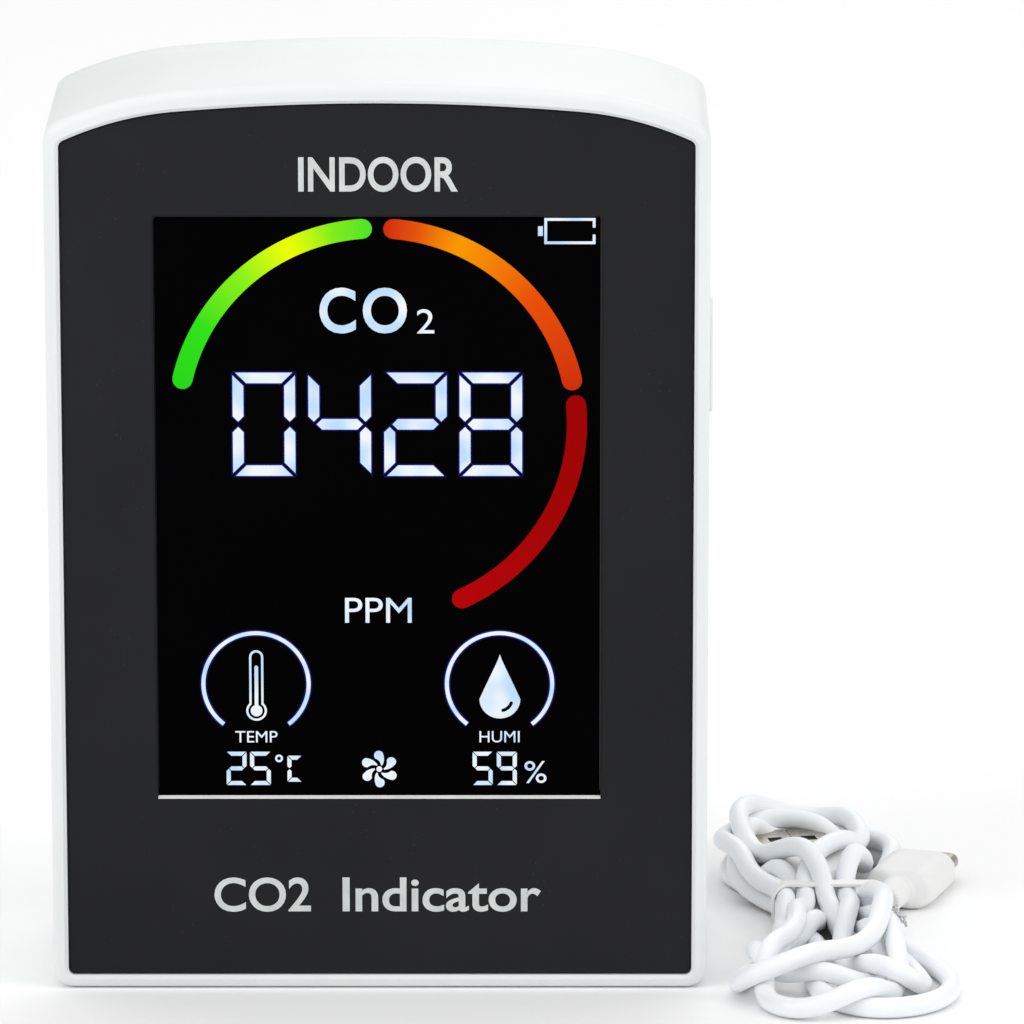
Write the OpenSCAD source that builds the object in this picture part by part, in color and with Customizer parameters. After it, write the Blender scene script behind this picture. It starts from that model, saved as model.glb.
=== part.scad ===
// Desktop carbon dioxide monitor. It stands upright on a flat base, with its display facing -Y and its
// arched top at +Z. The casing is a deep front shell closed by a back cover. A tied charging cable
// lies beside it.

/* [Casing] */
// Width of the casing
body_w = 95; // [94:1:120]
// Height of the casing at the crown of its arch
body_h = 134; // [132:1:165]
// Depth of the casing, front rim to back cover
body_d = 38; // [38:1:50]
// Wall thickness of both shells
wall = 2; // [1.6:0.1:2.4]
// Depth of the back cover
cover_d = 6; // [5.5:0.5:8]
// Radius of the wide arc over the middle of the top
crown_r = 340; // [250:10:420]
// Radius of the arcs that bend down to the sides
shoulder_r = 50; // [44:1:60]
// Width of each shoulder, from the side of the casing
shoulder_w = 18.5; // [15:0.5:22]
// Radius of the two upper corners
corner_r = 3.4; // [3:0.1:6]
// Radius of the two lower corners
base_corner_r = 3; // [2.6:0.1:6]
// Rounding of the front rim's outer edge
front_round = 1.6; // [0.8:0.1:1.9]
// Rounding of the back cover's outer edge
back_round = 2.5; // [1.5:0.1:3]

/* [Front] */
// Rim beside the dark panel
rim_side = 2.2; // [1.9:0.1:2.6]
// Rim above the dark panel
rim_top = 2.8; // [2.2:0.1:4]
// Rim below the dark panel
rim_base = 2; // [1.9:0.1:4]
// Depth of the dark panel's face behind the rim
panel_recess = 0.8; // [0.4:0.1:1.2]
// Thickness of the dark panel
panel_t = 2; // [1.6:0.1:2.4]
// Width of the display window
window_w = 64; // [53:1:65]
// Height of the display window
window_h = 86; // [76:1:90]
// Height of the window's lower edge above the base
window_z = 28.6; // [27:0.1:32]
// Depth of the window's face behind the dark panel's face
lens_recess = 0.5; // [0.3:0.1:0.8]

/* [Side button] */
// Length of the button
button_l = 17; // [12:0.5:22]
// Width of the button
button_w = 5.6; // [4:0.1:6.4]
// Height of the button's middle above the base
button_z = 91.5; // [80:0.5:100]
// How far the button stands out of the wall
button_out = 0.7; // [0.4:0.1:1.5]
// Travel of the button
button_travel = 0.3; // [0.2:0.05:0.4]

/* [Charging socket] */
// Height of the socket's middle above the base
socket_z = 22; // [20:0.5:26]

/* [Battery] */
// Diameter of the battery cell
cell_d = 18.4; // [14:0.1:19]
// Length of the battery cell
cell_l = 65; // [50:0.5:66]
// Height of the cell's middle above the base
cell_z = 46; // [44:0.5:50]

/* [Fan] */
// Side of the square fan frame
fan_size = 30; // [25:1:32]
// Thickness of the fan frame
fan_t = 8; // [7:0.5:9]
// Number of fan blades
fan_blades = 7; // [5:1:9]

/* [Charging cable] */
// Diameter of the cable
cable_d = 3; // [2.5:0.1:3.5]
// Free space between the casing's side and the tied hank
hank_gap = 3; // [2:0.5:15]
// Front to back place of the hank's tie
hank_y = 12; // [8:1:20]
// Height of the tied hank above the table
hank_t = 9; // [8:0.5:10]

/* [Hidden] */
$fn = 48;

// Clearances
fit = 0.15;
slide_fit = 0.12;
shaft_fit = 0.05;
eps = 0.01;
over = 1;

// Planes across the depth
front_y = -body_d / 2;
back_y = body_d / 2;
seam_y = back_y - cover_d;
panel_y = front_y + panel_recess;
ledge_y = panel_y + panel_t;
ledge_t = 1.6;
inner_y = ledge_y + ledge_t;
cover_inner_y = back_y - wall;

// Display stack, from the window backwards
lcd_edge = 1.5;
lcd_w = window_w + 2 * lcd_edge;
lcd_h = window_h + 2 * lcd_edge;
lcd_z = window_z - lcd_edge;
lcd_t = 2.4;
lcd_gap = 0.3;
backlight_t = 3;
pin_margin = 3;
holder_wall = 1.9;
holder_lip_t = 0.8;
holder_lip = 3;
backlight_y = ledge_y + lcd_t;
holder_back_y = backlight_y + backlight_t + holder_lip_t;

// Main board, behind the display and parallel to it
board_t = 1.6;
board_clear = 1.8;
board_gap = 3.5;
board_y = holder_back_y + board_clear;
board_back_y = board_y + board_t;
board_w = body_w - 2 * wall - 2 * board_gap;
board_z0 = 10;
board_z1 = body_h - 20;
post_r = 2.4;
post_x = board_w / 2 - post_r - 1;
post_z = [board_z0 + 4.5, board_z1 - 5];
board_screw_r = 1;
board_screw_l = 6;
board_head_r = 1.9;
board_head_t = 1.3;

// Case screws, bosses and the lip that locates the cover
boss_r = 3.2;
boss_sink = 0.1;
boss_x = body_w / 2 - wall - boss_r + boss_sink;
boss_z = [wall + boss_r - boss_sink, board_z1 + boss_r + 1.2];
case_screw_r = 1;
case_screw_l = 12;
case_head_r = 2.1;
case_head_t = 1.6;
head_depth = 3;
head_seat_y = back_y - head_depth;
lip_t = 1.2;
lip_l = 2;
lip_base = 1.5;

// Button and its switch, on the right-hand edge of the board
wall_x = body_w / 2;
wall_in_x = body_w / 2 - wall;
button_y = board_back_y + 1.8;
flange_rim = 1.1;
flange_t = 1;
plunger_x = board_w / 2 - 0.8;
plunger_r = 0.9;
plunger_l = 1.6;
switch_size = [3.6, 3.5, 6];
push_gap = 0.02;
push_r = 1.5;

// Charging socket, on the left-hand edge of the board
socket_w = 8.94;
socket_h = 3.26;
socket_l = 7.4;
socket_wall = 0.3;
socket_back = 0.6;
socket_set_in = 0.6;
socket_y = board_back_y + socket_h / 2;
socket_x = -wall_x + socket_set_in;
tongue = [5, 0.7, 6.7];

// Carbon dioxide sensor module
sensor_size = [33, 1.2, 20.5];
sensor_at = [-32, board_back_y + 4, board_z1 - 28];
chamber_size = [26, 6.8, 16.5];
chamber_corner = 3;
filter_r = 3.6;
filter_x = 7;
filter_t = 0.5;

// Temperature and humidity sensor on its own little board
climate_size = [10, 1, 13];
climate_at = [-38, board_back_y + 8, cell_z + cell_d / 2 + 6];
climate_chip = [3, 1, 3];
climate_chip_inset = 2;
climate_port_r = 0.6;
climate_pin_inset = 1.5;
climate_pin_count = 4;
sensor_low_pins = 5;
sensor_top_pins = 4;
pin_pitch = 2.54;
pin_w = 0.6;
pin_inset = 1;
lcd_pin_w = 0.5;
pin_row_short = 16;
least_r = 0.4;
socket_gap = 0.3;
screw_gap = 0.3;
head_gap = 0.4;
drive_w = 0.5;
drive_reach = 0.6;
peg_start = 1;
processor_x = 4;
processor_z = 14;
processor_w = 10;
processor_legs = 8;
charger_x = -22;
charger_size = [5, 4];
charger_legs = 4;
chip_t = 1.4;
chip_leg = [0.5, 0.2, 1];
chip_leg_in = 0.1;
inductor_x = -12;
inductor_size = 6;
inductor_t = 3;
inductor_rim_r = 2.52;
inductor_core_r = 1.8;
inductor_step = 0.4;
buzzer_at = [26, socket_z + 1];
buzzer_r = 4.5;
buzzer_t = 4.2;
buzzer_port_r = 0.9;

// Fan, behind the grille
fan_x = 20;
fan_z = board_z1 - fan_size / 2 - 1;
fan_y = cover_inner_y - fan_t;
fan_wall = 1.1;
fan_bore_r = fan_size / 2 - fan_wall;
fan_tip_gap = 0.6;
fan_tip_r = fan_bore_r - fan_tip_gap;
hub_r = 6.8;
hub_wall = 0.9;
bearing_r = 2;
shaft_r = 0.9;
base_t = 1.2;
strut_w = 2;
stator_r = 5.4;
hub_y = fan_y + base_t + 0.5;
hub_back_y = fan_y + fan_t - 0.8;
peg_r = 1.1;
peg_in = 3;
grille_slot = 1.6;
grille_pitch = 3.2;
fan_socket_size = [6, 4.5, 4];
fan_socket_at = [13, board_back_y, cell_z + cell_d / 2 + 6];
fan_socket_wall = 0.8;
fan_socket_floor = 2;
bearing_y = hub_back_y - 2;
shaft_floor = 0.4;
shaft_gap = 0.1;
stator_step = 0.2;
stator_core = 1;
stator_slot = 1;
blade_t = 0.8;
blade_chord = 6;
blade_pitch = 48;
lead_r = 0.55;
lead_x = 0.8;
lead_in = 1.2;
lead_sides = 8;
lead_bends = [[0, -1.4, 0], [-2, -3, -6], [0, 0, -1], [1, 1, 6], [0, 0, 3]];

// Battery cell in its holder
holder_base_t = 1.6;
cell_y = board_back_y + holder_base_t + 0.3 + cell_d / 2;
cell_side_gap = 0.5;
contact_gap = 3;
holder_in_l = cell_l + 2 * contact_gap;
holder_end_t = 1.5;
holder_side_t = 1.4;
holder_side_h = 9;
holder_corner_l = 8;
holder_y1 = cell_y + 4;
cell_tip_l = 1;
cell_tip_d = 6;
contact_t = 0.4;
contact_w = 9;
contact_spring_r = 2.6;

// Charging cable: a hank folded to and fro, tied at its waist
hank_top_r = 12.5;
hank_top = [-4, 27];
hank_base_r = 17;
hank_base = [0, -31];
hank_x = body_w / 2 + hank_gap + hank_base_r;
waist_half_w = 8;
waist_half_l = 7;
plug_gap = 0.3;
tie_w = 2.4;
tie_t = 0.5;
tail_r = 0.5;
tail_l = 2;
plug_a_at = [-1.2, 3.5];
plug_a_turn = 11;
plug_a_shell = [12, 12, 4.5];
plug_a_window = 2.2;
plug_a_window_x = 2.6;
plug_a_window_y = 5.5;
plug_a_set_in = 0.8;
plug_a_grip = [13, 14, 7.4];
plug_a_boot_r = 2.3;
plug_a_boot_l = 3;
plug_a_wall = 0.35;
plug_a_z = plug_a_grip.z / 2;
plug_c_at = [7.4, 3.5];
plug_c_turn = -20;
plug_c_shell = [8.3, 5, 2.5];
plug_c_grip = [11, 13, 6];
plug_c_boot_r = 2.4;
plug_c_boot_l = 6;
plug_c_wall = 0.3;
plug_c_z = plug_c_grip.z / 2;

// Points along an arc round [centre x, centre z]; keep = 0 leaves out its last point
function arc(cx, cz, r, a0, a1, n, keep = 1) =
    [for (i = [0 : n - 1 + keep]) let (a = a0 + (a1 - a0) * i / n) [cx + r * cos(a), cz + r * sin(a)]];

// Outline of the casing seen from the front, moved inwards by its own amounts at the sides, top and base
function outline(side, top, base) =
    let (
        half = body_w / 2 - side,
        rc = crown_r - top,
        rs = shoulder_r - side,
        rt = max(corner_r - side, least_r),
        rb = max(base_corner_r - base, least_r),
        crown_a = asin((body_w / 2 - shoulder_w) / crown_r),
        crown_z = body_h - crown_r,
        xs = (rc - rs) * sin(crown_a),
        zs = crown_z + (rc - rs) * cos(crown_a),
        shoulder_a = asin((half - rt - xs) / (rs - rt)),
        zt = zs + (rs - rt) * cos(shoulder_a)
    )
    concat(
        arc(half - rb, base + rb, rb, -90, 0, 4),
        arc(half - rt, zt, rt, 0, 90 - shoulder_a, 5, 0),
        arc(xs, zs, rs, 90 - shoulder_a, 90 - crown_a, 6, 0),
        arc(0, crown_z, rc, 90 - crown_a, 90 + crown_a, 12, 0),
        arc(-xs, zs, rs, 90 + crown_a, 90 + shoulder_a, 6, 0),
        arc(-half + rt, zt, rt, 90 + shoulder_a, 180, 5),
        arc(-half + rb, base + rb, rb, 180, 270, 4)
    );

function even_outline(inset) = outline(inset, inset, inset);

// A flat sheet of the given outline from plane y0 back to plane y1
module sheet(points, y0, y1) {
    translate([0, y1, 0])
        rotate([90, 0, 0])
            linear_extrude(y1 - y0)
                polygon(points);
}

// A cylinder along Y from y0 to y1
module rod_y(x, z, r, y0, y1) {
    translate([x, y1, z])
        rotate([90, 0, 0])
            cylinder(r = r, h = y1 - y0);
}

// A box from one corner to the opposite one
module block(low, high) {
    translate(low)
        cube(high - low);
}

// Outer form of the casing between two planes, with a rounded edge at one of them
module rounded_casing(y0, y1, r, at_front) {
    steps = 4;
    slice = 0.02;
    hull() {
        sheet(even_outline(0), at_front ? y0 + r : y0, at_front ? y1 : y1 - r);
        for (i = [0 : steps - 1]) {
            a = 90 * i / steps;
            inset = r * (1 - sin(a));
            out = r * cos(a);
            y = at_front ? y0 + r - out : y1 - r + out - slice;
            sheet(even_outline(inset), y, y + slice);
        }
    }
}

module at_bosses() {
    for (x = [-boss_x, boss_x], z = boss_z) {
        translate([x, 0, z])
            children();
    }
}

module at_posts() {
    for (x = [-post_x, post_x], z = post_z) {
        translate([x, 0, z])
            children();
    }
}

// A slot with round ends along Z, cut through a side wall at x
module side_slot(x0, x1, y, z, w, l) {
    r = w / 2;
    block([x0, y - r, z - l / 2 + r], [x1, y + r, z + l / 2 - r]);
    for (s = [-1, 1]) {
        translate([x0, y, z + s * (l / 2 - r)])
            rotate([0, 90, 0])
                cylinder(r = r, h = x1 - x0);
    }
}

// Deep front shell: rim, sides, top and base in one moulding
module front_shell() {
    color("white")
        difference() {
            union() {
                difference() {
                    rounded_casing(front_y, seam_y, front_round, true);
                    sheet(even_outline(wall), inner_y, seam_y + over);
                }
                at_bosses()
                    rod_y(0, 0, boss_r, inner_y - eps, seam_y);
                at_posts()
                    rod_y(0, 0, post_r, inner_y - eps, board_y);
            }
            sheet(outline(rim_side, rim_top, rim_base), front_y - over, ledge_y);
            block(
                [-lcd_w / 2 - lcd_gap, ledge_y - over, lcd_z - lcd_gap],
                [lcd_w / 2 + lcd_gap, inner_y + over, lcd_z + lcd_h + lcd_gap]
            );
            at_bosses()
                rod_y(0, 0, case_screw_r + shaft_fit, head_seat_y - case_screw_l - over, seam_y + over);
            at_posts()
                rod_y(0, 0, board_screw_r + shaft_fit, board_back_y - board_screw_l - over / 2, board_y + over);
            side_slot(
                wall_in_x - over, wall_x + over, button_y, button_z,
                button_w + 2 * slide_fit, button_l + 2 * slide_fit
            );
            side_slot(
                -wall_x - over, -wall_in_x + over, socket_y, socket_z,
                socket_h + 2 * socket_gap, socket_w + 2 * socket_gap
            );
        }
}

// Slots across a round field, for the fan grille and the sensor vents
module grille(x, z, r) {
    rows = floor(r / grille_pitch);
    intersection() {
        rod_y(x, z, r, cover_inner_y - over, back_y + over);
        for (i = [-rows : rows]) {
            h = z + i * grille_pitch;
            block(
                [x - r, cover_inner_y - over, h - grille_slot / 2],
                [x + r, back_y + over, h + grille_slot / 2]
            );
        }
    }
}

// Shallow back cover with a locating lip, screw sleeves, fan pegs and two grilles
module back_cover() {
    lip_out = wall + fit;
    color("white")
        difference() {
            union() {
                difference() {
                    rounded_casing(seam_y, back_y, back_round, false);
                    sheet(even_outline(wall), seam_y - over, cover_inner_y);
                }
                difference() {
                    sheet(even_outline(wall - eps), seam_y, seam_y + lip_base);
                    sheet(even_outline(lip_out + lip_t), seam_y - over, seam_y + lip_base + over);
                }
                difference() {
                    sheet(even_outline(lip_out), seam_y - lip_l, seam_y + eps);
                    sheet(even_outline(lip_out + lip_t), seam_y - lip_l - over, seam_y + over);
                    at_bosses()
                        rod_y(0, 0, boss_r + fit, seam_y - lip_l - over, seam_y);
                }
                at_bosses()
                    rod_y(0, 0, boss_r, seam_y, back_y - eps - back_round / 2);
                for (sx = [-1, 1], sz = [-1, 1]) {
                    rod_y(fan_x + sx * (fan_size / 2 - peg_in), fan_z + sz * (fan_size / 2 - peg_in),
                        peg_r, fan_y + peg_start, cover_inner_y + eps);
                }
            }
            at_bosses() {
                rod_y(0, 0, case_screw_r + screw_gap, seam_y - over, back_y + over);
                rod_y(0, 0, case_head_r + head_gap, head_seat_y, back_y + over);
            }
            grille(fan_x, fan_z, fan_bore_r);
            grille(sensor_at.x + sensor_size.x / 2, fan_z, sensor_size.z / 2);
        }
}

// A pan-head screw pointing towards -Y, its head's seat at plane y
module screw(y, r, l, head_r, head_t) {
    rod_y(0, 0, r, y - l, y);
    difference() {
        rod_y(0, 0, head_r, y, y + head_t);
        for (a = [0, 90]) {
            rotate([0, a, 0])
                block(
                    [-head_r * drive_reach, y + head_t / 2, -drive_w / 2],
                    [head_r * drive_reach, y + head_t + over, drive_w / 2]
                );
        }
    }
}

module case_screws() {
    color("silver")
        at_bosses()
            screw(head_seat_y, case_screw_r, case_screw_l, case_head_r, case_head_t);
}

// Dark matte panel let into the rim, with the window cut through it
module front_panel() {
    color("dimgray")
        difference() {
            sheet(outline(rim_side + fit, rim_top + fit, rim_base + fit), panel_y, ledge_y);
            block(
                [-window_w / 2, panel_y - over, window_z],
                [window_w / 2, ledge_y + over, window_z + window_h]
            );
        }
}

module display_lens() {
    color("black")
        block(
            [-window_w / 2 + fit, panel_y + lens_recess, window_z + fit],
            [window_w / 2 - fit, ledge_y, window_z + window_h - fit]
        );
}

module lcd_cell() {
    color("darkslategray")
        block([-lcd_w / 2, ledge_y, lcd_z], [lcd_w / 2, backlight_y, lcd_z + lcd_h]);
}

// Light guide and its reflector, short of the lower edge where the glass has its pins
module lcd_backlight() {
    color("white")
        block(
            [-lcd_w / 2, backlight_y, lcd_z + pin_margin],
            [lcd_w / 2, backlight_y + backlight_t, lcd_z + lcd_h]
        );
}

// Frame that holds the glass and the light guide against the front shell
module lcd_holder() {
    half = lcd_w / 2 + lcd_gap;
    color("dimgray")
        difference() {
            block(
                [-half - holder_wall, inner_y, lcd_z - lcd_gap - holder_wall],
                [half + holder_wall, holder_back_y, lcd_z + lcd_h + lcd_gap + holder_wall]
            );
            block(
                [-half, inner_y - over, lcd_z - lcd_gap],
                [half, holder_back_y - holder_lip_t, lcd_z + lcd_h + lcd_gap]
            );
            block(
                [-half + holder_lip, inner_y, lcd_z - lcd_gap],
                [half - holder_lip, holder_back_y + over, lcd_z + lcd_h - holder_lip]
            );
        }
}

// A row of square pins across the lower edge of the glass
module display_pins() {
    count = floor((lcd_w - pin_row_short) / pin_pitch);
    half = lcd_pin_w / 2;
    z = lcd_z + pin_margin / 2;
    color("silver")
        for (i = [0 : count]) {
            x = (i - count / 2) * pin_pitch;
            block([x - half, backlight_y, z - half], [x + half, board_y, z + half]);
        }
}

module main_board() {
    color("seagreen")
        difference() {
            block([-board_w / 2, board_y, board_z0], [board_w / 2, board_back_y, board_z1]);
            at_posts()
                rod_y(0, 0, board_screw_r + screw_gap, board_y - over, board_back_y + over);
        }
}

module board_screws() {
    color("silver")
        at_posts()
            screw(board_back_y, board_screw_r, board_screw_l, board_head_r, board_head_t);
}

// A chip on the back of the board, with legs along two or four of its sides
module chip(x, z, w, h, t, legs, four_sides) {
    leg = chip_leg;
    block([x - w / 2, board_back_y + leg.y, z - h / 2], [x + w / 2, board_back_y + t, z + h / 2]);
    for (i = [0 : legs - 1], s = [-1, 1]) {
        along = (i - (legs - 1) / 2) * 2 * leg.x;
        out = s * (h / 2 + leg.z / 2 - chip_leg_in);
        block([x + along - leg.x / 2, board_back_y, z + out - leg.z / 2],
            [x + along + leg.x / 2, board_back_y + leg.y * 2, z + out + leg.z / 2]);
        if (four_sides) {
            block([x + out - leg.z / 2, board_back_y, z + along - leg.x / 2],
                [x + out + leg.z / 2, board_back_y + leg.y * 2, z + along + leg.x / 2]);
        }
    }
}

module processor_chip() {
    color("black")
        chip(
            processor_x, cell_z + cell_d / 2 + processor_z, processor_w, processor_w,
            chip_t, processor_legs, true
        );
}

module charger_chip() {
    color("black")
        chip(charger_x, socket_z, charger_size.x, charger_size.y, chip_t, charger_legs, false);
}

module power_inductor() {
    side = inductor_size;
    y1 = board_back_y + inductor_t;
    color("gray")
        difference() {
            block(
                [inductor_x - side / 2, board_back_y, socket_z - side / 2],
                [inductor_x + side / 2, y1, socket_z + side / 2]
            );
            difference() {
                rod_y(inductor_x, socket_z, inductor_rim_r, y1 - inductor_step, y1 + over);
                rod_y(inductor_x, socket_z, inductor_core_r, y1 - over, y1 + over);
            }
        }
}

module buzzer() {
    color("black")
        difference() {
            rod_y(buzzer_at.x, buzzer_at.y, buzzer_r, board_back_y, board_back_y + buzzer_t);
            rod_y(
                buzzer_at.x, buzzer_at.y, buzzer_port_r,
                board_back_y + buzzer_t - over, board_back_y + buzzer_t + over
            );
        }
}

// A socket shell's section swept along X, with round upper and lower ends
module socket_form(x0, x1, inset) {
    side_slot(x0, x1, socket_y, socket_z, socket_h - 2 * inset, socket_w - 2 * inset);
}

module usb_socket_shell() {
    color("silver")
        difference() {
            socket_form(socket_x, socket_x + socket_l, 0);
            socket_form(socket_x - 1, socket_x + socket_l - socket_back, socket_wall);
        }
}

module usb_socket_tongue() {
    x1 = socket_x + socket_l - socket_back;
    color("black")
        block(
            [x1 - tongue.x, socket_y - tongue.y / 2, socket_z - tongue.z / 2],
            [x1, socket_y + tongue.y / 2, socket_z + tongue.z / 2]
        );
}

module switch_body() {
    x1 = plunger_x - plunger_l;
    r = plunger_r + shaft_fit;
    color("dimgray")
        difference() {
            block(
                [x1 - switch_size.x, board_back_y, button_z - switch_size.z / 2],
                [x1, board_back_y + switch_size.y, button_z + switch_size.z / 2]
            );
            translate([x1 - over, button_y, button_z])
                rotate([0, 90, 0])
                    cylinder(r = r, h = 2 * over);
        }
}

module switch_plunger() {
    root = 0.6;
    color("orange")
        translate([plunger_x - plunger_l - root, button_y, button_z])
            rotate([0, 90, 0])
                cylinder(r = plunger_r, h = plunger_l + root);
}

// Long side button: cap through the wall, flange behind it and a push rod to the switch
module side_button() {
    flange_x = wall_in_x - slide_fit;
    color("white") {
        side_slot(flange_x - eps, wall_x + button_out, button_y, button_z, button_w, button_l);
        side_slot(
            flange_x - flange_t, flange_x, button_y, button_z,
            button_w + 2 * flange_rim, button_l + 2 * flange_rim
        );
        translate([plunger_x + push_gap, button_y, button_z])
            rotate([0, 90, 0])
                cylinder(r = push_r, h = flange_x - plunger_x - push_gap);
    }
}

module co2_sensor_board() {
    color("darkgreen")
        block(sensor_at, sensor_at + sensor_size);
}

// Folded metal chamber with round corners, through which the sampled air diffuses
module co2_sensor_chamber() {
    low = sensor_at + [
        (sensor_size.x - chamber_size.x) / 2,
        sensor_size.y,
        (sensor_size.z - chamber_size.z) / 2
    ];
    r = chamber_corner;
    color("gold") {
        block(low + [r, 0, 0], low + chamber_size - [r, 0, 0]);
        block(low + [0, 0, r], low + chamber_size - [0, 0, r]);
        for (x = [r, chamber_size.x - r], z = [r, chamber_size.z - r]) {
            rod_y(low.x + x, low.z + z, r, low.y, low.y + chamber_size.y);
        }
    }
}

module co2_sensor_filter() {
    y = sensor_at.y + sensor_size.y + chamber_size.y;
    color("white")
        for (s = [-1, 1]) {
            rod_y(
                sensor_at.x + sensor_size.x / 2 + s * filter_x, sensor_at.z + sensor_size.z / 2,
                filter_r, y, y + filter_t
            );
        }
}

module pin_row(x, z, count, y1) {
    half = pin_w / 2;
    for (i = [0 : count - 1]) {
        px = x + (i - (count - 1) / 2) * pin_pitch;
        block([px - half, board_back_y, z - half], [px + half, y1, z + half]);
    }
}

module co2_sensor_pins() {
    x = sensor_at.x + sensor_size.x / 2;
    color("silver") {
        pin_row(x, sensor_at.z + pin_inset, sensor_low_pins, sensor_at.y);
        pin_row(x, sensor_at.z + sensor_size.z - pin_inset, sensor_top_pins, sensor_at.y);
    }
}

module climate_board() {
    color("darkgreen")
        block(climate_at, climate_at + climate_size);
}

module climate_sensor() {
    low = climate_at + [
        (climate_size.x - climate_chip.x) / 2,
        climate_size.y,
        climate_size.z - climate_chip.z - climate_chip_inset
    ];
    color("black")
        difference() {
            block(low, low + climate_chip);
            rod_y(low.x + climate_chip.x / 2, low.z + climate_chip.z / 2, climate_port_r,
                low.y + climate_chip.y / 2, low.y + climate_chip.y + over);
        }
}

module climate_pins() {
    color("silver")
        pin_row(
            climate_at.x + climate_size.x / 2, climate_at.z + climate_pin_inset,
            climate_pin_count, climate_at.y
        );
}

// Square frame with three struts that carry the motor base and its bearing
module fan_frame() {
    y1 = fan_y + fan_t;
    h = fan_size / 2;
    color("black")
        difference() {
            union() {
                difference() {
                    block([fan_x - h, fan_y, fan_z - h], [fan_x + h, y1, fan_z + h]);
                    rod_y(fan_x, fan_z, fan_bore_r, fan_y - over, y1 + over);
                }
                rod_y(fan_x, fan_z, hub_r, fan_y, fan_y + base_t);
                rod_y(fan_x, fan_z, bearing_r, fan_y, bearing_y);
                for (a = [30 : 120 : 270]) {
                    translate([fan_x, 0, fan_z])
                        rotate([0, a, 0])
                            block(
                                [0, fan_y, -strut_w / 2],
                                [fan_bore_r + fan_wall / 2, fan_y + base_t, strut_w / 2]
                            );
                }
            }
            rod_y(fan_x, fan_z, shaft_r + shaft_fit, fan_y + shaft_floor, y1);
            for (sx = [-1, 1], sz = [-1, 1]) {
                rod_y(
                    fan_x + sx * (h - peg_in), fan_z + sz * (h - peg_in),
                    peg_r + fit, fan_y - over, y1 + over
                );
            }
        }
}

// Wound stator on the bearing tube, inside the rotor's hub
module fan_stator() {
    y0 = fan_y + base_t;
    y1 = bearing_y - stator_step;
    color("chocolate")
        difference() {
            rod_y(fan_x, fan_z, stator_r, y0, y1);
            rod_y(fan_x, fan_z, bearing_r, y0 - over, y1 + over);
            for (a = [45 : 90 : 315]) {
                translate([fan_x, 0, fan_z])
                    rotate([0, a, 0])
                        block(
                            [bearing_r + stator_core, y0 - over, -stator_slot / 2],
                            [stator_r + over, y1 + over, stator_slot / 2]
                        );
            }
        }
}

// Cup-shaped hub on its shaft, with pitched blades round it
module fan_rotor() {
    mid_y = (hub_y + hub_back_y) / 2;
    color("black") {
        difference() {
            rod_y(fan_x, fan_z, hub_r, hub_y, hub_back_y);
            rod_y(fan_x, fan_z, hub_r - hub_wall, hub_y - over, hub_back_y - hub_wall);
        }
        rod_y(fan_x, fan_z, shaft_r, fan_y + shaft_floor + shaft_gap, hub_back_y - hub_wall / 2);
        intersection() {
            difference() {
                rod_y(fan_x, fan_z, fan_tip_r, hub_y, hub_back_y);
                rod_y(fan_x, fan_z, hub_r - hub_wall / 2, hub_y - over, hub_back_y + over);
            }
            for (i = [0 : fan_blades - 1]) {
                translate([fan_x, mid_y, fan_z])
                    rotate([0, i * 360 / fan_blades, 0])
                        rotate([blade_pitch, 0, 0])
                            block(
                                [hub_r - hub_wall, -blade_t / 2, -blade_chord / 2],
                                [fan_bore_r, blade_t / 2, blade_chord / 2]
                            );
            }
        }
    }
}

// A tube swept along points, the ring at each point square to the way it runs there
module swept_tube(points, r, sides) {
    last = len(points) - 1;
    function way(i) =
        let (d = points[min(i + 1, last)] - points[max(i - 1, 0)])
        d / norm(d);
    function ring(i) =
        let (
            w = way(i),
            ref = abs(w.x) < 0.9 ? [1, 0, 0] : [0, 0, 1],
            u = cross(w, ref) / norm(cross(w, ref)),
            v = cross(w, u)
        )
        [for (k = [0 : sides - 1]) points[i] + r * (u * cos(360 * k / sides) + v * sin(360 * k / sides))];
    polyhedron(
        points = [for (i = [0 : last]) each ring(i)],
        faces = concat(
            [[for (k = [0 : sides - 1]) k]],
            [for (i = [0 : last - 1], k = [0 : sides - 1])
                [
                    i * sides + k,
                    (i + 1) * sides + k,
                    (i + 1) * sides + (k + 1) % sides,
                    i * sides + (k + 1) % sides
                ]],
            [[for (k = [sides - 1 : -1 : 0]) last * sides + k]]
        )
    );
}

module fan_socket() {
    wall_t = fan_socket_wall;
    color("ivory")
        difference() {
            block(fan_socket_at, fan_socket_at + fan_socket_size);
            block(
                fan_socket_at + [wall_t, wall_t, fan_socket_floor],
                fan_socket_at + fan_socket_size - [wall_t, wall_t, -over]
            );
        }
}

// Two leads from the motor base down to their socket on the board
module fan_leads() {
    start_z = fan_z - hub_r + lead_in;
    end = fan_socket_at + [fan_socket_size.x / 2, fan_socket_size.y / 2, fan_socket_floor];
    color("red")
        for (x = [-lead_x, lead_x]) {
            swept_tube([
                [fan_x + x, fan_y, start_z],
                [fan_x + x, fan_y, start_z] + lead_bends[0],
                [fan_x + x, fan_y, start_z] + lead_bends[1],
                [(fan_x + end.x) / 2 + x, (fan_y + end.y) / 2, (start_z + end.z) / 2] + lead_bends[2],
                [end.x + x, end.y, end.z] + lead_bends[3],
                [end.x + x, end.y, end.z] + lead_bends[4],
                [end.x + x, end.y, end.z]
            ], lead_r, lead_sides);
        }
}

module battery_cell() {
    color("royalblue")
        translate([-cell_l / 2, cell_y, cell_z])
            rotate([0, 90, 0]) {
                cylinder(d = cell_d, h = cell_l - cell_tip_l);
                cylinder(d = cell_tip_d, h = cell_l);
            }
}

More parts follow.
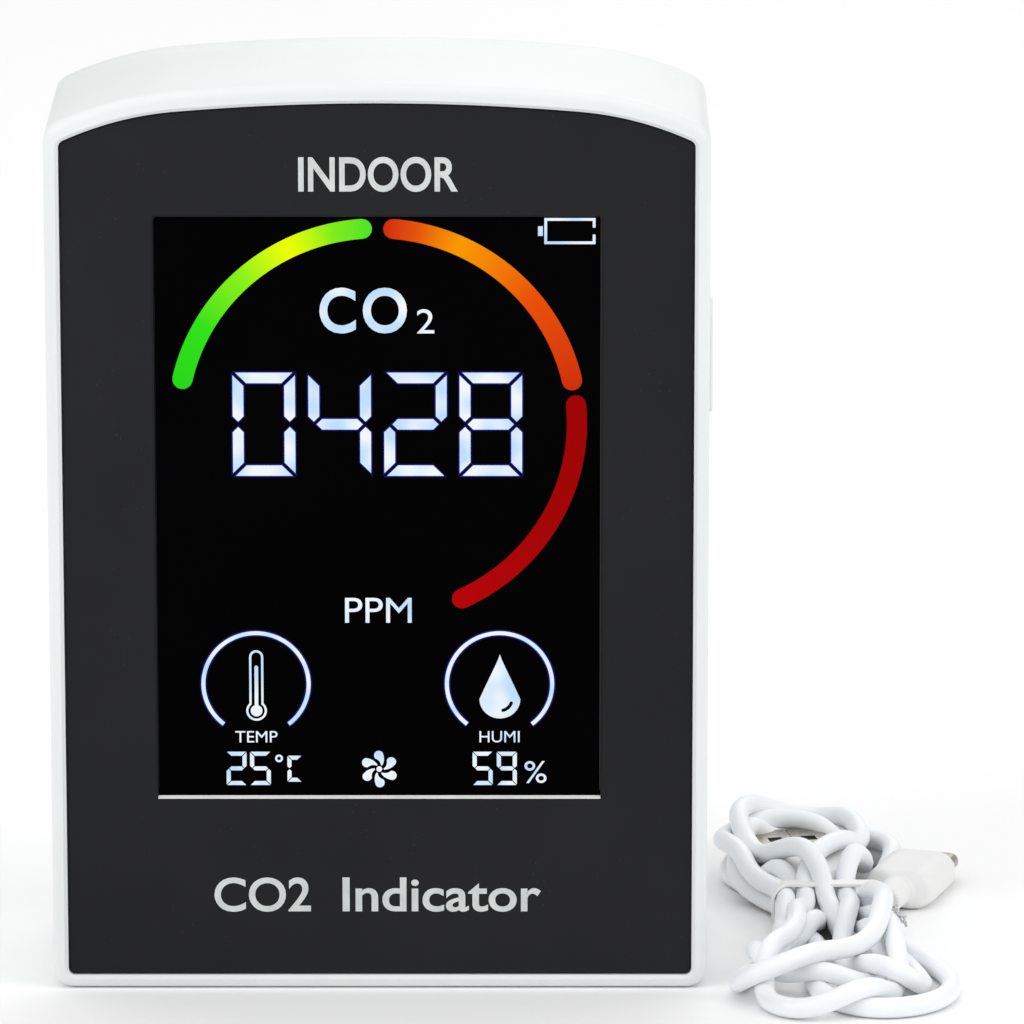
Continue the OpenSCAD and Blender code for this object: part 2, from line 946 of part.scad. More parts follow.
// Open cradle soldered to the board: base, two end walls and two low side walls
module battery_holder() {
    half_l = holder_in_l / 2 + holder_end_t;
    half_w = cell_d / 2 + cell_side_gap + holder_side_t;
    in_w = half_w - holder_side_t;
    y0 = board_back_y;
    color("black")
        difference() {
            block([-half_l, y0, cell_z - half_w], [half_l, holder_y1, cell_z + half_w]);
            block(
                [-holder_in_l / 2, y0 + holder_base_t, cell_z - in_w],
                [holder_in_l / 2, holder_y1 + over, cell_z + in_w]
            );
            block(
                [-holder_in_l / 2 + holder_corner_l, y0 + holder_side_h, cell_z - half_w - over],
                [holder_in_l / 2 - holder_corner_l, holder_y1 + over, cell_z + half_w + over]
            );
        }
}

// Spring plates at both ends of the cell
module battery_contacts() {
    plate_t = contact_t;
    plate_w = contact_w;
    color("silver")
        for (s = [-1, 1]) {
            wall_at = s * holder_in_l / 2;
            plate_at = wall_at - s * plate_t;
            block([min(wall_at, plate_at), cell_y - plate_w / 2, cell_z - plate_w / 2],
                [max(wall_at, plate_at), cell_y + plate_w / 2, cell_z + plate_w / 2]);
            translate([s > 0 ? cell_l / 2 : -holder_in_l / 2 + plate_t - eps, cell_y, cell_z])
                rotate([0, 90, 0])
                    cylinder(r = contact_spring_r, h = contact_gap - plate_t + eps);
        }
}

// Moves its children to a place on the hank, counted from the tie
module on_hank(at, turn) {
    translate([hank_x + at.x, hank_y + at.y, 0])
        rotate([0, 0, turn])
            children();
}

// Space kept free of the hank for a plug that lies in it or beside it, from the plug's cable end outwards
module plug_space(boot_l, grip, shell) {
    half = grip.x / 2 + plug_gap;
    block([-half, 0, -over], [half, boot_l + grip.y + shell.y + plug_gap, grip.z + plug_gap]);
}

// The folded cable's outer shape: two lobes joined by the tied waist
module cable_hank() {
    color("whitesmoke")
        difference() {
            translate([hank_x, hank_y, 0])
                union() {
                    translate(hank_top)
                        cylinder(r = hank_top_r, h = hank_t);
                    translate(hank_base)
                        cylinder(r = hank_base_r, h = hank_t);
                    linear_extrude(hank_t)
                        polygon([
                            [hank_top.x - hank_top_r, hank_top.y],
                            [-waist_half_w, waist_half_l],
                            [-waist_half_w, -waist_half_l],
                            [hank_base.x - hank_base_r, hank_base.y],
                            [hank_base.x + hank_base_r, hank_base.y],
                            [waist_half_w, -waist_half_l],
                            [waist_half_w, waist_half_l],
                            [hank_top.x + hank_top_r, hank_top.y]
                        ]);
                }
            block(
                [hank_x - waist_half_w - over, hank_y - tie_w / 2, -over],
                [hank_x + waist_half_w + over, hank_y + tie_w / 2, tie_t]
            );
            on_hank(plug_a_at, plug_a_turn)
                plug_space(plug_a_boot_l, plug_a_grip, plug_a_shell);
            on_hank(plug_c_at, plug_c_turn)
                plug_space(plug_c_boot_l, plug_c_grip, plug_c_shell);
        }
}

// Twist tie round the waist: a flat sleeve with a wire in it, its ends twisted together
module cable_tie() {
    x = waist_half_w + tie_t;
    color("white") {
        difference() {
            block([hank_x - x, hank_y - tie_w / 2, 0], [hank_x + x, hank_y + tie_w / 2, hank_t + tie_t]);
            block(
                [hank_x - waist_half_w, hank_y - tie_w, tie_t],
                [hank_x + waist_half_w, hank_y + tie_w, hank_t]
            );
        }
        translate([hank_x + x - 2 * tail_r, hank_y, hank_t + tie_t - eps])
            cylinder(r = tail_r, h = tail_l);
    }
}

// A plug's moulded grip with round sides, and the sleeve where its cable enters
module plug_grip(grip, boot_r, boot_l, mid_z) {
    r = grip.z / 2;
    translate([0, boot_l, mid_z])
        rotate([-90, 0, 0]) {
            translate([-grip.x / 2 + r, -r, 0])
                cube([grip.x - grip.z, grip.z, grip.y]);
            for (s = [-1, 1]) {
                translate([s * (grip.x / 2 - r), 0, 0])
                    cylinder(r = r, h = grip.y);
            }
        }
    translate([0, 0, mid_z])
        rotate([-90, 0, 0])
            cylinder(r = boot_r, h = boot_l + eps);
}

module usb_a_grip() {
    color("whitesmoke")
        on_hank(plug_a_at, plug_a_turn)
            plug_grip(plug_a_grip, plug_a_boot_r, plug_a_boot_l, plug_a_z);
}

// Folded steel shell, open at its end, with two square windows on top
module usb_a_shell() {
    y0 = plug_a_boot_l + plug_a_grip.y;
    half = plug_a_shell / 2;
    t = plug_a_wall;
    window = plug_a_window;
    color("silver")
        on_hank(plug_a_at, plug_a_turn)
            difference() {
                block([-half.x, y0, plug_a_z - half.z], [half.x, y0 + plug_a_shell.y, plug_a_z + half.z]);
                block(
                    [-half.x + t, y0 + t, plug_a_z - half.z + t],
                    [half.x - t, y0 + plug_a_shell.y + over, plug_a_z + half.z - t]
                );
                for (x = [-plug_a_window_x, plug_a_window_x]) {
                    block(
                        [x - window / 2, y0 + plug_a_window_y, plug_a_z],
                        [x + window / 2, y0 + plug_a_window_y + window, plug_a_z + half.z + over]
                    );
                }
            }
}

module usb_a_insert() {
    y0 = plug_a_boot_l + plug_a_grip.y + plug_a_wall;
    half = plug_a_shell / 2;
    t = plug_a_wall;
    color("whitesmoke")
        on_hank(plug_a_at, plug_a_turn)
            block(
                [-half.x + t, y0, plug_a_z - half.z + t],
                [half.x - t, y0 + plug_a_shell.y - t - plug_a_set_in, plug_a_z - plug_a_wall]
            );
}

module usb_c_grip() {
    color("whitesmoke")
        on_hank(plug_c_at, plug_c_turn)
            plug_grip(plug_c_grip, plug_c_boot_r, plug_c_boot_l, plug_c_z);
}

// Seamless oval steel shell, open at its end
module usb_c_shell() {
    y0 = plug_c_boot_l + plug_c_grip.y;
    r = plug_c_shell.z / 2;
    x = plug_c_shell.x / 2 - r;
    color("silver")
        on_hank(plug_c_at, plug_c_turn)
            difference() {
                union() {
                    block([-x, y0, plug_c_z - r], [x, y0 + plug_c_shell.y, plug_c_z + r]);
                    for (s = [-1, 1]) {
                        translate([s * x, y0, plug_c_z])
                            rotate([-90, 0, 0])
                                cylinder(r = r, h = plug_c_shell.y);
                    }
                }
                union() {
                    inner = r - plug_c_wall;
                    block(
                        [-x, y0 + plug_c_wall, plug_c_z - inner],
                        [x, y0 + plug_c_shell.y + over, plug_c_z + inner]
                    );
                    for (s = [-1, 1]) {
                        translate([s * x, y0 + plug_c_wall, plug_c_z])
                            rotate([-90, 0, 0])
                                cylinder(r = inner, h = plug_c_shell.y);
                    }
                }
            }
}

front_shell();
back_cover();
case_screws();
front_panel();
display_lens();
lcd_cell();
lcd_backlight();
lcd_holder();
display_pins();
main_board();
board_screws();
processor_chip();
charger_chip();
power_inductor();
buzzer();
usb_socket_shell();
usb_socket_tongue();
switch_body();
switch_plunger();
side_button();
co2_sensor_board();
co2_sensor_chamber();
co2_sensor_filter();
co2_sensor_pins();
climate_board();
climate_sensor();
climate_pins();
fan_frame();
fan_stator();
fan_rotor();
fan_leads();
fan_socket();
battery_cell();
battery_holder();
battery_contacts();
cable_hank();
cable_tie();
usb_a_shell();
usb_a_insert();
usb_a_grip();
usb_c_shell();
usb_c_grip();
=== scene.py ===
import math

import bmesh
import bpy
import numpy as np
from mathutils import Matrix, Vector


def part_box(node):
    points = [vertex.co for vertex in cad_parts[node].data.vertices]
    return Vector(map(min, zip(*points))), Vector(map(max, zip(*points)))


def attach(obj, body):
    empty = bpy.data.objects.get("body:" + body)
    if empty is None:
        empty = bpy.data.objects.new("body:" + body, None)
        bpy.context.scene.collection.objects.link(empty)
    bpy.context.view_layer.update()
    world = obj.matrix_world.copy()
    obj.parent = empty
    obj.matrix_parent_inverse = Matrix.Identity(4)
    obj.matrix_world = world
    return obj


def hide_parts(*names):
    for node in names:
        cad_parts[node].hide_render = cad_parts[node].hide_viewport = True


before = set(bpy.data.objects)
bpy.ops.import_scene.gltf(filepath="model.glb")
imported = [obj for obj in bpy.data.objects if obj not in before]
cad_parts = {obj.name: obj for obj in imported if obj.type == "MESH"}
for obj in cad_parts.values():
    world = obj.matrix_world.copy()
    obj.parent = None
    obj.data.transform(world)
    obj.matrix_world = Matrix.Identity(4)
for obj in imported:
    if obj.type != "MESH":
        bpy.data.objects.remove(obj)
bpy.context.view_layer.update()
MM = 0.001

# ---------------------------------------------------------------------------
# The studio: a wide pale floor, a soft white room and large overhead lamps.
# The camera stands well back and a little above, and looks down at the display.
# ---------------------------------------------------------------------------


def deselect():
    if bpy.context.object and bpy.context.object.mode != "OBJECT":
        bpy.ops.object.mode_set(mode="OBJECT")
    bpy.ops.object.select_all(action="DESELECT")


def pick(piece):
    """Selects one piece alone and makes it the active one"""
    deselect()
    piece.select_set(True)
    bpy.context.view_layer.objects.active = piece


def wire(tree, kind, values=None, links=None, **settings):
    """Adds a node, sets its inputs and joins others to it; returns the node"""
    node = tree.nodes.new(kind)
    for key, value in settings.items():
        setattr(node, key, value)
    for key, value in (values or {}).items():
        node.inputs[key].default_value = value
    for key, source in (links or {}).items():
        tree.links.new(source, node.inputs[key])
    return node


deselect()
bpy.ops.object.camera_add(location=(0.0192, -1.2, 0.368), rotation=(math.radians(90 - 14.09), 0, 0))
camera = bpy.context.object
camera.name = "studio_camera"
camera.data.lens = 298.4
camera.data.sensor_width = 36
camera.data.clip_start = 0.05
camera.data.clip_end = 100
bpy.context.scene.camera = camera
bpy.context.scene.view_settings.view_transform = "Standard"

deselect()
bpy.ops.mesh.primitive_plane_add(size=60, location=(0, 0, -0.00005))
floor = bpy.context.object
floor.name = "studio_floor"
paper = bpy.data.materials.new("pale_paper")
paper.use_nodes = True
paper_tree = paper.node_tree
paper_shader = paper_tree.nodes["Principled BSDF"]
paper_place = wire(paper_tree, "ShaderNodeTexCoord")
paper_fibre = wire(paper_tree, "ShaderNodeTexNoise", {"Scale": 400.0, "Detail": 3.0},
                   {"Vector": paper_place.outputs["Object"]})
paper_ramp = wire(paper_tree, "ShaderNodeValToRGB", links={"Fac": paper_fibre.outputs["Fac"]})
paper_ramp.color_ramp.elements[0].color = (0.97, 0.97, 0.97, 1)
paper_ramp.color_ramp.elements[1].color = (0.99, 0.99, 0.99, 1)
paper_tree.links.new(paper_ramp.outputs["Color"], paper_shader.inputs["Base Color"])
paper_shader.inputs["Roughness"].default_value = 0.9
paper_shader.inputs["Specular IOR Level"].default_value = 0.1
floor.data.materials.append(paper)

room = bpy.data.worlds.new("white_room")
bpy.context.scene.world = room
room.use_nodes = True
room.node_tree.nodes["Background"].inputs["Color"].default_value = (1, 1, 1, 1)
room.node_tree.nodes["Background"].inputs["Strength"].default_value = 0.62

# name, place, size, power and the point that the lamp faces
for name, place, size, power, aim in (
    ("overhead_softbox", (0.0, -0.10, 1.5), 1.4, 5.6, (0, 0, 0.05)),
    ("left_softbox", (-1.3, -0.9, 0.9), 0.9, 8, (0, 0, 0.06)),
    ("right_softbox", (1.3, -0.6, 0.8), 0.9, 6.5, (0, 0, 0.06)),
    ("rear_softbox", (0.3, 1.4, 0.9), 0.9, 3, (0, 0, 0.06)),
):
    bpy.ops.object.light_add(type="AREA", location=place)
    lamp = bpy.context.object
    lamp.name = name
    lamp.data.shape = "SQUARE"
    lamp.data.size = size
    lamp.data.energy = power
    lamp.rotation_euler = (Vector(aim) - Vector(place)).to_track_quat("-Z", "Y").to_euler()

# ---------------------------------------------------------------------------
# The finishes' shared effects. Moulded and cut surfaces carry a fine grain
# and a slow mottle, and the dark panel holds a little dust.
# ---------------------------------------------------------------------------


def effect(name, inputs, outputs):
    """An empty node group with the named inputs and outputs"""
    group = bpy.data.node_groups.new(name, "ShaderNodeTree")
    for label, kind in inputs:
        group.interface.new_socket(name=label, in_out="INPUT", socket_type=kind)
    for label in outputs:
        group.interface.new_socket(name=label, in_out="OUTPUT", socket_type="NodeSocketFloat")
    return group, group.nodes.new("NodeGroupInput"), group.nodes.new("NodeGroupOutput")


grain, grain_in, grain_out = effect(
    "surface_grain",
    [("Place", "NodeSocketVector"), ("Fine scale", "NodeSocketFloat"), ("Slow scale", "NodeSocketFloat")],
    ["Mottle", "Height"],
)
fine = wire(grain, "ShaderNodeTexNoise", {"Detail": 2.0, "Roughness": 0.6},
            {"Vector": grain_in.outputs["Place"], "Scale": grain_in.outputs["Fine scale"]})
slow = wire(grain, "ShaderNodeTexNoise", {"Detail": 4.0, "Roughness": 0.55},
            {"Vector": grain_in.outputs["Place"], "Scale": grain_in.outputs["Slow scale"]})
grain.links.new(fine.outputs["Fac"], grain_out.inputs["Height"])
grain.links.new(slow.outputs["Fac"], grain_out.inputs["Mottle"])

dust, dust_in, dust_out = effect(
    "dust_specks", [("Place", "NodeSocketVector"), ("Scale", "NodeSocketFloat"), ("Size", "NodeSocketFloat")],
    ["Specks"]
)
motes = wire(dust, "ShaderNodeTexVoronoi", {"Randomness": 1.0},
             {"Vector": dust_in.outputs["Place"], "Scale": dust_in.outputs["Scale"]})
small = wire(dust, "ShaderNodeMath", {}, {0: motes.outputs["Distance"], 1: dust_in.outputs["Size"]},
             operation="LESS_THAN")
patchy = wire(dust, "ShaderNodeTexNoise", {"Scale": 160.0, "Detail": 1.0},
              {"Vector": dust_in.outputs["Place"]})
where = wire(dust, "ShaderNodeMath", {1: 0.56}, {0: patchy.outputs["Fac"]}, operation="GREATER_THAN")
both = wire(dust, "ShaderNodeMath", {}, {0: small.outputs[0], 1: where.outputs[0]}, operation="MULTIPLY")
dust.links.new(both.outputs[0], dust_out.inputs["Specks"])


def finish(name, low, high, rough, fine_scale=5000, slow_scale=60, bump=0.1, depth=0.00002, metal=0.0,
           stretch=(1, 1, 1)):
    """A material whose colour runs from low to high, with a grain in its gloss and its relief"""
    material = bpy.data.materials.new(name)
    material.use_nodes = True
    tree = material.node_tree
    shader = tree.nodes["Principled BSDF"]
    place = wire(tree, "ShaderNodeTexCoord")
    turn = wire(tree, "ShaderNodeMapping", {"Scale": stretch}, {"Vector": place.outputs["Object"]})
    grained = wire(tree, "ShaderNodeGroup", node_tree=grain)
    grained.inputs["Fine scale"].default_value = fine_scale
    grained.inputs["Slow scale"].default_value = slow_scale
    tree.links.new(turn.outputs["Vector"], grained.inputs["Place"])
    tone = wire(tree, "ShaderNodeValToRGB", links={"Fac": grained.outputs["Mottle"]})
    tone.color_ramp.elements[0].position = 0.3
    tone.color_ramp.elements[1].position = 0.7
    tone.color_ramp.elements[0].color = (*low, 1)
    tone.color_ramp.elements[1].color = (*high, 1)
    tree.links.new(tone.outputs["Color"], shader.inputs["Base Color"])
    gloss = wire(tree, "ShaderNodeMapRange", {"To Min": rough[0], "To Max": rough[1]},
                 {"Value": grained.outputs["Height"]})
    tree.links.new(gloss.outputs["Result"], shader.inputs["Roughness"])
    relief = wire(tree, "ShaderNodeBump", {"Strength": bump, "Distance": depth},
                  {"Height": grained.outputs["Height"]})
    tree.links.new(relief.outputs["Normal"], shader.inputs["Normal"])
    shader.inputs["Metallic"].default_value = metal
    return material


def coat(piece, material):
    piece.data.materials.clear()
    piece.data.materials.append(material)


# ---------------------------------------------------------------------------
# The charging cable: one flexible white lead, folded to and fro into a hank
# and tied at its waist. It lies on the table beside the casing.
# ---------------------------------------------------------------------------
tie_low, tie_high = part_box("cable_tie")
tie_x = (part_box("cable_hank")[0].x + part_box("cable_hank")[1].x) / 2
tie_y = (tie_low.y + tie_high.y) / 2
cable_d = 3 * MM
cable_r = cable_d / 2
tie_t = 0.5 * MM
sample, settled_sample = 0.8 * MM, 2 * MM
plug_a_at, plug_a_turn = (-1.2 * MM, 3.5 * MM), 11
plug_c_at, plug_c_turn = (7.4 * MM, 3.5 * MM), -20
plug_a_z, plug_c_z = 3.7 * MM, 3.0 * MM

# Room over the large plug's grip and its shell: half width, height, start and end along the plug
plug_rooms = [(6.0 * MM, 7.2 * MM, 4 * MM, 17 * MM), (6.0 * MM, 5.9 * MM, 15 * MM, 29 * MM)]

# Left to right and front to back from the tie, and height, in millimetres
route = [
    (-1.2, 3.5, 3.6), (-0.3, 0, 2.2), (0, -3, 1.5), (2, -8, 1.5), (4.5, -14, 3.6), (6.5, -20, 3.6),
    (7.6, -26, 3.6),
    (6.3, -30.5, 3.6), (3.2, -33.9, 3.6), (-1, -35.4, 3.6), (-5, -35.2, 3.6), (-8.7, -33.2, 3.6),
    (-11.7, -29.4, 3.6), (-12.3, -25.4, 3.6), (-10.7, -20.6, 3.6), (-8, -16.5, 3.6), (-4.6, -12.5, 1.5),
    (-3.2, -7, 1.5), (-3, 0, 2), (-6, 4, 1.5), (-10, 8, 1.5), (-12.8, 13, 1.5), (-14.6, 19, 1.5),
    (-15.2, 25, 1.5),
    (-13.6, 30.5, 1.5), (-9.5, 34.3, 1.5), (-3.5, 35.3, 1.5), (2.5, 34.3, 1.5), (7.5, 32, 1.5),
    (10.3, 28, 1.5),
    (10.6, 23, 1.5), (9.6, 17, 1.5), (8, 11.5, 1.5), (6.6, 6, 1.5), (6, 0, 2), (6.6, -6, 1.5),
    (7.8, -13.5, 1.5),
    (9.5, -17.5, 1.5), (12.4, -22.3, 1.5), (14.8, -27.7, 1.5), (15.5, -33.9, 1.5), (14.1, -39.6, 1.5),
    (10.4, -43.4, 1.5), (6.3, -44.9, 1.5), (2.5, -44.4, 1.5), (-0.9, -42, 1.5), (-3.2, -38.3, 1.5),
    (-4.2, -33.2, 1.5), (-4.2, -27.1, 1.5), (-3.7, -20.3, 1.5), (-4.2, -12.8, 1.5), (-5.4, -6, 1.5),
    (-6, 0, 2),
    (-8.3, 5, 3.6), (-10.8, 9.5, 3.6), (-12.9, 14.5, 3.6), (-14.3, 19.5, 3.6), (-14.8, 25, 3.6),
    (-13.4, 30, 3.6),
    (-9.8, 33.6, 3.6), (-4, 34.9, 3.6), (1, 34.3, 3.6), (5.5, 32.9, 3.6), (8.6, 30.8, 3.6), (9.7, 27.6, 3.6),
    (9.2, 23, 3.6), (8, 18.5, 3.6), (6.2, 13.5, 3.6), (4.6, 8.5, 3.6), (3.6, 4, 3.6), (3, 0, 2),
    (3.6, -6, 3.6),
    (5.2, -12, 3.6), (6.4, -18, 3.6), (7.4, -25, 3.6), (7.4, -32.2, 3.6), (6.9, -37.5, 3.6),
    (5.1, -41.9, 3.6),
    (1.2, -45.1, 3.6), (-3.9, -46.2, 3.6), (-8.7, -45.1, 3.6), (-11.4, -41.3, 3.6), (-11.8, -35.6, 5.7),
    (-11, -31, 5.7), (-8.7, -25.4, 5.7), (-6.9, -18.6, 5.7), (-6.1, -10, 5.7), (-4.5, 0, 4.6),
    (-4.8, 4.5, 7.8),
    (-3.3, 8.5, 7.8), (-0.5, 13.5, 7.8), (2.2, 18.4, 7.8), (4, 23, 7.8), (4.7, 27.6, 7.8), (4, 31.8, 7.8),
    (2.3, 35.4, 7.8), (-0.6, 37.8, 7.8), (-4.4, 38.5, 7.8), (-8.4, 37.4, 7.8), (-11.5, 34.6, 7.8),
    (-13.3, 30.8, 7.8), (-13.7, 26, 7.8), (-12.8, 21.3, 7.8), (-10.9, 16.5, 7.8), (-8.4, 12, 9.9),
    (-5.5, 8, 9.9),
    (-3.4, 3.9, 9.9), (-1.5, 0, 4.6), (-0.4, -5, 5.7), (2.5, -10.7, 3.6), (5.3, -16, 3.6), (7.6, -21.6, 3.6),
    (9.3, -25.6, 3.6), (10.5, -29.6, 3.6), (11.1, -33.8, 5.7), (10.6, -37, 5.7), (8.8, -38.2, 5.7),
    (6.8, -36.4, 5.7), (3.9, -32.2, 5.7), (1.5, -27.7, 5.7), (0.2, -23, 5.7), (0.1, -18.6, 5.7),
    (0.9, -11.8, 5.7),
    (1.4, -6, 5.7), (1.5, 0, 4.6), (1.3, 5.4, 5.7), (2.6, 10.2, 5.7), (4.4, 15, 5.7), (5, 20.3, 5.7),
    (4.3, 24.8, 5.7), (2.3, 28.7, 5.7), (-0.6, 31.8, 5.7), (-4, 33.3, 5.7), (-8, 33.6, 5.7), (-11.5, 32, 5.7),
    (-14.2, 28.6, 5.7), (-15.3, 24.1, 5.7), (-14.8, 19.6, 5.7), (-13.1, 14.6, 5.7), (-10.9, 9.9, 5.7),
    (-9, 5.1, 5.7), (-7.5, 0, 4.6), (-7.8, -6, 3.6), (-7.6, -12, 3.6), (-8.3, -17, 3.6), (-9.8, -21.6, 3.6),
    (-12, -25.6, 3.6), (-14, -29.2, 3.6), (-15, -32.4, 5.7), (-15.2, -35.6, 7.8), (-14.3, -38.2, 7.8),
    (-11.7, -39.1, 7.8), (-7.7, -36.9, 7.8), (-3.2, -33.9, 7.8), (1.2, -29.8, 9.9), (4.2, -25.2, 9.9),
    (5.9, -19.4, 9.9), (6.4, -13, 9.9), (6.1, -6, 9.9), (4.6, 0, 4.6), (7.4, 3.5, 5.7),
]


def curve_through(points, spacing):
    """Evenly spaced points on the smooth curve through the given ones"""
    p = np.vstack([2 * points[0] - points[1], points, 2 * points[-1] - points[-2]])
    fine_points = []
    for i in range(1, len(p) - 2):
        for t in np.linspace(0, 1, 24, endpoint=False):
            fine_points.append(0.5 * (
                2 * p[i] + (p[i + 1] - p[i - 1]) * t
                + (2 * p[i - 1] - 5 * p[i] + 4 * p[i + 1] - p[i + 2]) * t ** 2
                + (3 * p[i] - p[i - 1] - 3 * p[i + 1] + p[i + 2]) * t ** 3
            ))
    fine_points.append(p[-2])
    fine_points = np.array(fine_points)
    along = np.concatenate([[0], np.cumsum(np.linalg.norm(np.diff(fine_points, axis=0), axis=1))])
    even = np.linspace(0, along[-1], max(2, round(along[-1] / spacing)) + 1)
    return np.stack([np.interp(even, along, fine_points[:, k]) for k in range(3)], axis=1)


def plug_height(points, at, turn, half_width, thick, y0, y1):
    """Height of a lying plug under each point, 0 beside it"""
    angle = math.radians(turn)
    dx, dy = points[:, 0] - at[0], points[:, 1] - at[1]
    across = dx * math.cos(angle) + dy * math.sin(angle)
    along = -dx * math.sin(angle) + dy * math.cos(angle)
    side = np.clip((half_width + cable_r - np.abs(across)) / (1.6 * cable_r), 0, 1)
    ends = np.clip((np.minimum(along - y0, y1 - along) + cable_r) / (2 * cable_r), 0, 1)
    smooth = side * side * (3 - 2 * side) * ends * ends * (3 - 2 * ends)
    return thick * smooth


def lay_down(points, steps):
    """Lets the folded cable settle on the table, clear of itself, its plug and its tie, at its full length"""
    sinks, keeps_route, stiffness, springs_back = 0.012 * MM, 0.03, 0.12, 0.25
    held_at_tie, tie_reach, tie_slope = 0.8, 1.6 * MM, 3 * MM
    contact = cable_d * 1.01
    plug_at = (tie_x + plug_a_at[0], tie_y + plug_a_at[1])
    p, wanted = points.copy(), points.copy()
    step = np.linalg.norm(np.diff(p, axis=0), axis=1).mean()
    held = held_at_tie * np.exp(-(((p[:, 1:2] - tie_y) / tie_reach) ** 2))
    order = np.arange(len(p))
    apart = np.abs(np.subtract.outer(order, order)) * step > 2.2 * cable_d
    for k in range(steps):
        p[:, 2] -= sinks
        p[:, :2] += keeps_route * (wanted[:, :2] - p[:, :2])
        p += held * (wanted - p)
        gap = p[None, :, :] - p[:, None, :]
        dist = np.sqrt((gap ** 2).sum(2)) + 1e-9
        near = (dist < contact) & apart
        push = np.where(near, (contact - dist) / dist * 0.5, 0)
        touching = np.maximum(near.sum(1), 1)
        p -= (gap * push[:, :, None]).sum(1) / np.sqrt(touching)[:, None]
        bend = p[:-2] - 2 * p[1:-1] + p[2:]
        p[2:-2] -= stiffness * (bend[:-2] - 2 * bend[1:-1] + bend[2:])
        link = p[1:] - p[:-1]
        length = np.linalg.norm(link, axis=1)[:, None]
        pull = springs_back * link * (1 - step / length)
        p[:-1] += pull
        p[1:] -= pull
        over = tie_t * np.exp(-(((p[:, 1] - tie_y) / tie_slope) ** 2))
        for room in plug_rooms:
            over = np.maximum(over, plug_height(p, plug_at, plug_a_turn, *room))
        p[3:-3, 2] = np.maximum(p[3:-3, 2], cable_r + over[3:-3])
        p[:3], p[-3:] = wanted[:3], wanted[-3:]
    return p


rough = np.array([[tie_x + x * MM, tie_y + y * MM, z * MM] for x, y, z in route])
rough[0, 2], rough[-1, 2] = plug_a_z, plug_c_z
settled = lay_down(curve_through(rough, settled_sample), 320)
laid = curve_through(settled, sample)

cable_curve = bpy.data.curves.new("charging_cable", "CURVE")
cable_curve.dimensions = "3D"
line = cable_curve.splines.new("POLY")
line.points.add(len(laid) - 1)
for point, place in zip(line.points, laid):
    point.co = (*place, 1)
cable_curve.bevel_depth = cable_r
cable_curve.bevel_resolution = 4
cable_curve.use_fill_caps = True
line.use_smooth = True
cable = bpy.data.objects.new("charging_cable", cable_curve)
bpy.context.scene.collection.objects.link(cable)
cable_white = finish("cable_jacket_white", (0.88, 0.91, 0.94), (0.92, 0.94, 0.96), (0.32, 0.42), 2500, 35,
                     0.08, 0.00003)
cable.data.materials.append(cable_white)
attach(cable, "casing")
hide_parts("cable_hank")

# ---------------------------------------------------------------------------
# The plugs: white moulded grips round drawn steel shells. The larger plug has
# a folded shell with two square windows, and the smaller one a seamless oval shell.
# ---------------------------------------------------------------------------


def edit(piece):
    pick(piece)
    bpy.ops.object.mode_set(mode="EDIT")


def done():
    bpy.ops.object.mode_set(mode="OBJECT")


def settle(piece, **settings):
    """Adds a modifier, given as kind and settings, and applies it"""
    kind = settings.pop("kind")
    pick(piece)
    modifier = piece.modifiers.new(kind.lower(), kind)
    for key, value in settings.items():
        setattr(modifier, key, value)
    bpy.ops.object.modifier_apply(modifier=modifier.name)


def cut(piece, *cutters, operation="DIFFERENCE"):
    """Takes the cutters out of the piece, or joins them to it"""
    for cutter in cutters:
        settle(piece, kind="BOOLEAN", object=cutter, operation=operation, solver="EXACT")
        bpy.data.objects.remove(cutter)


def smooth(piece, angle=35):
    """Soft shading across shallow edges, with flat faces kept flat"""
    pick(piece)
    bpy.ops.object.shade_smooth_by_angle(angle=math.radians(angle))
    settle(piece, kind="WEIGHTED_NORMAL", keep_sharp=True, weight=80)


def loft(name, rings):
    """A closed solid through rings of points, each ring with as many points as the first"""
    deselect()
    bpy.ops.mesh.primitive_circle_add(vertices=len(rings[0]), radius=1, fill_type="NGON")
    piece = bpy.context.object
    piece.name = name
    for vertex, point in zip(piece.data.vertices, rings[0]):
        vertex.co = point
    piece.data.attributes.new("turn", "INT", "POINT")
    piece.data.attributes["turn"].data.foreach_set("value", range(len(rings[0])))
    edit(piece)
    bpy.ops.mesh.select_all(action="SELECT")
    for ring in rings[1:]:
        bpy.ops.mesh.extrude_region_move(TRANSFORM_OT_translate={"value": (0, 0, 0)})
        mesh = bmesh.from_edit_mesh(piece.data)
        turn = mesh.verts.layers.int["turn"]
        for vertex in [v for v in mesh.verts if v.select]:
            vertex.co = ring[vertex[turn]]
        bmesh.update_edit_mesh(piece.data)
    bpy.ops.mesh.select_all(action="SELECT")
    bpy.ops.mesh.normals_make_consistent(inside=False)
    done()
    piece.data.attributes.remove(piece.data.attributes["turn"])
    return piece


def oval(half_x, half_z, corner, y, x=0.0, z=0.0, steps=8):
    """Points round a rectangle with round corners, in the plane at y"""
    points = []
    for sx, sz, start in ((1, -1, -90), (1, 1, 0), (-1, 1, 90), (-1, -1, 180)):
        for i in range(steps + 1):
            a = math.radians(start + 90 * i / steps)
            points.append((x + sx * (half_x - corner) + corner * math.cos(a), y,
                           z + sz * (half_z - corner) + corner * math.sin(a)))
    return points


def bar_along_y(name, half_x, half_z, corner, y0, y1, x=0.0, z=0.0, steps=8):
    return loft(name, [oval(half_x, half_z, corner, y, x, z, steps) for y in (y0, y1)])


def circle(cx, cz, r, steps):
    return [(cx + r * math.cos(2 * math.pi * i / steps), cz + r * math.sin(2 * math.pi * i / steps))
            for i in range(steps)]


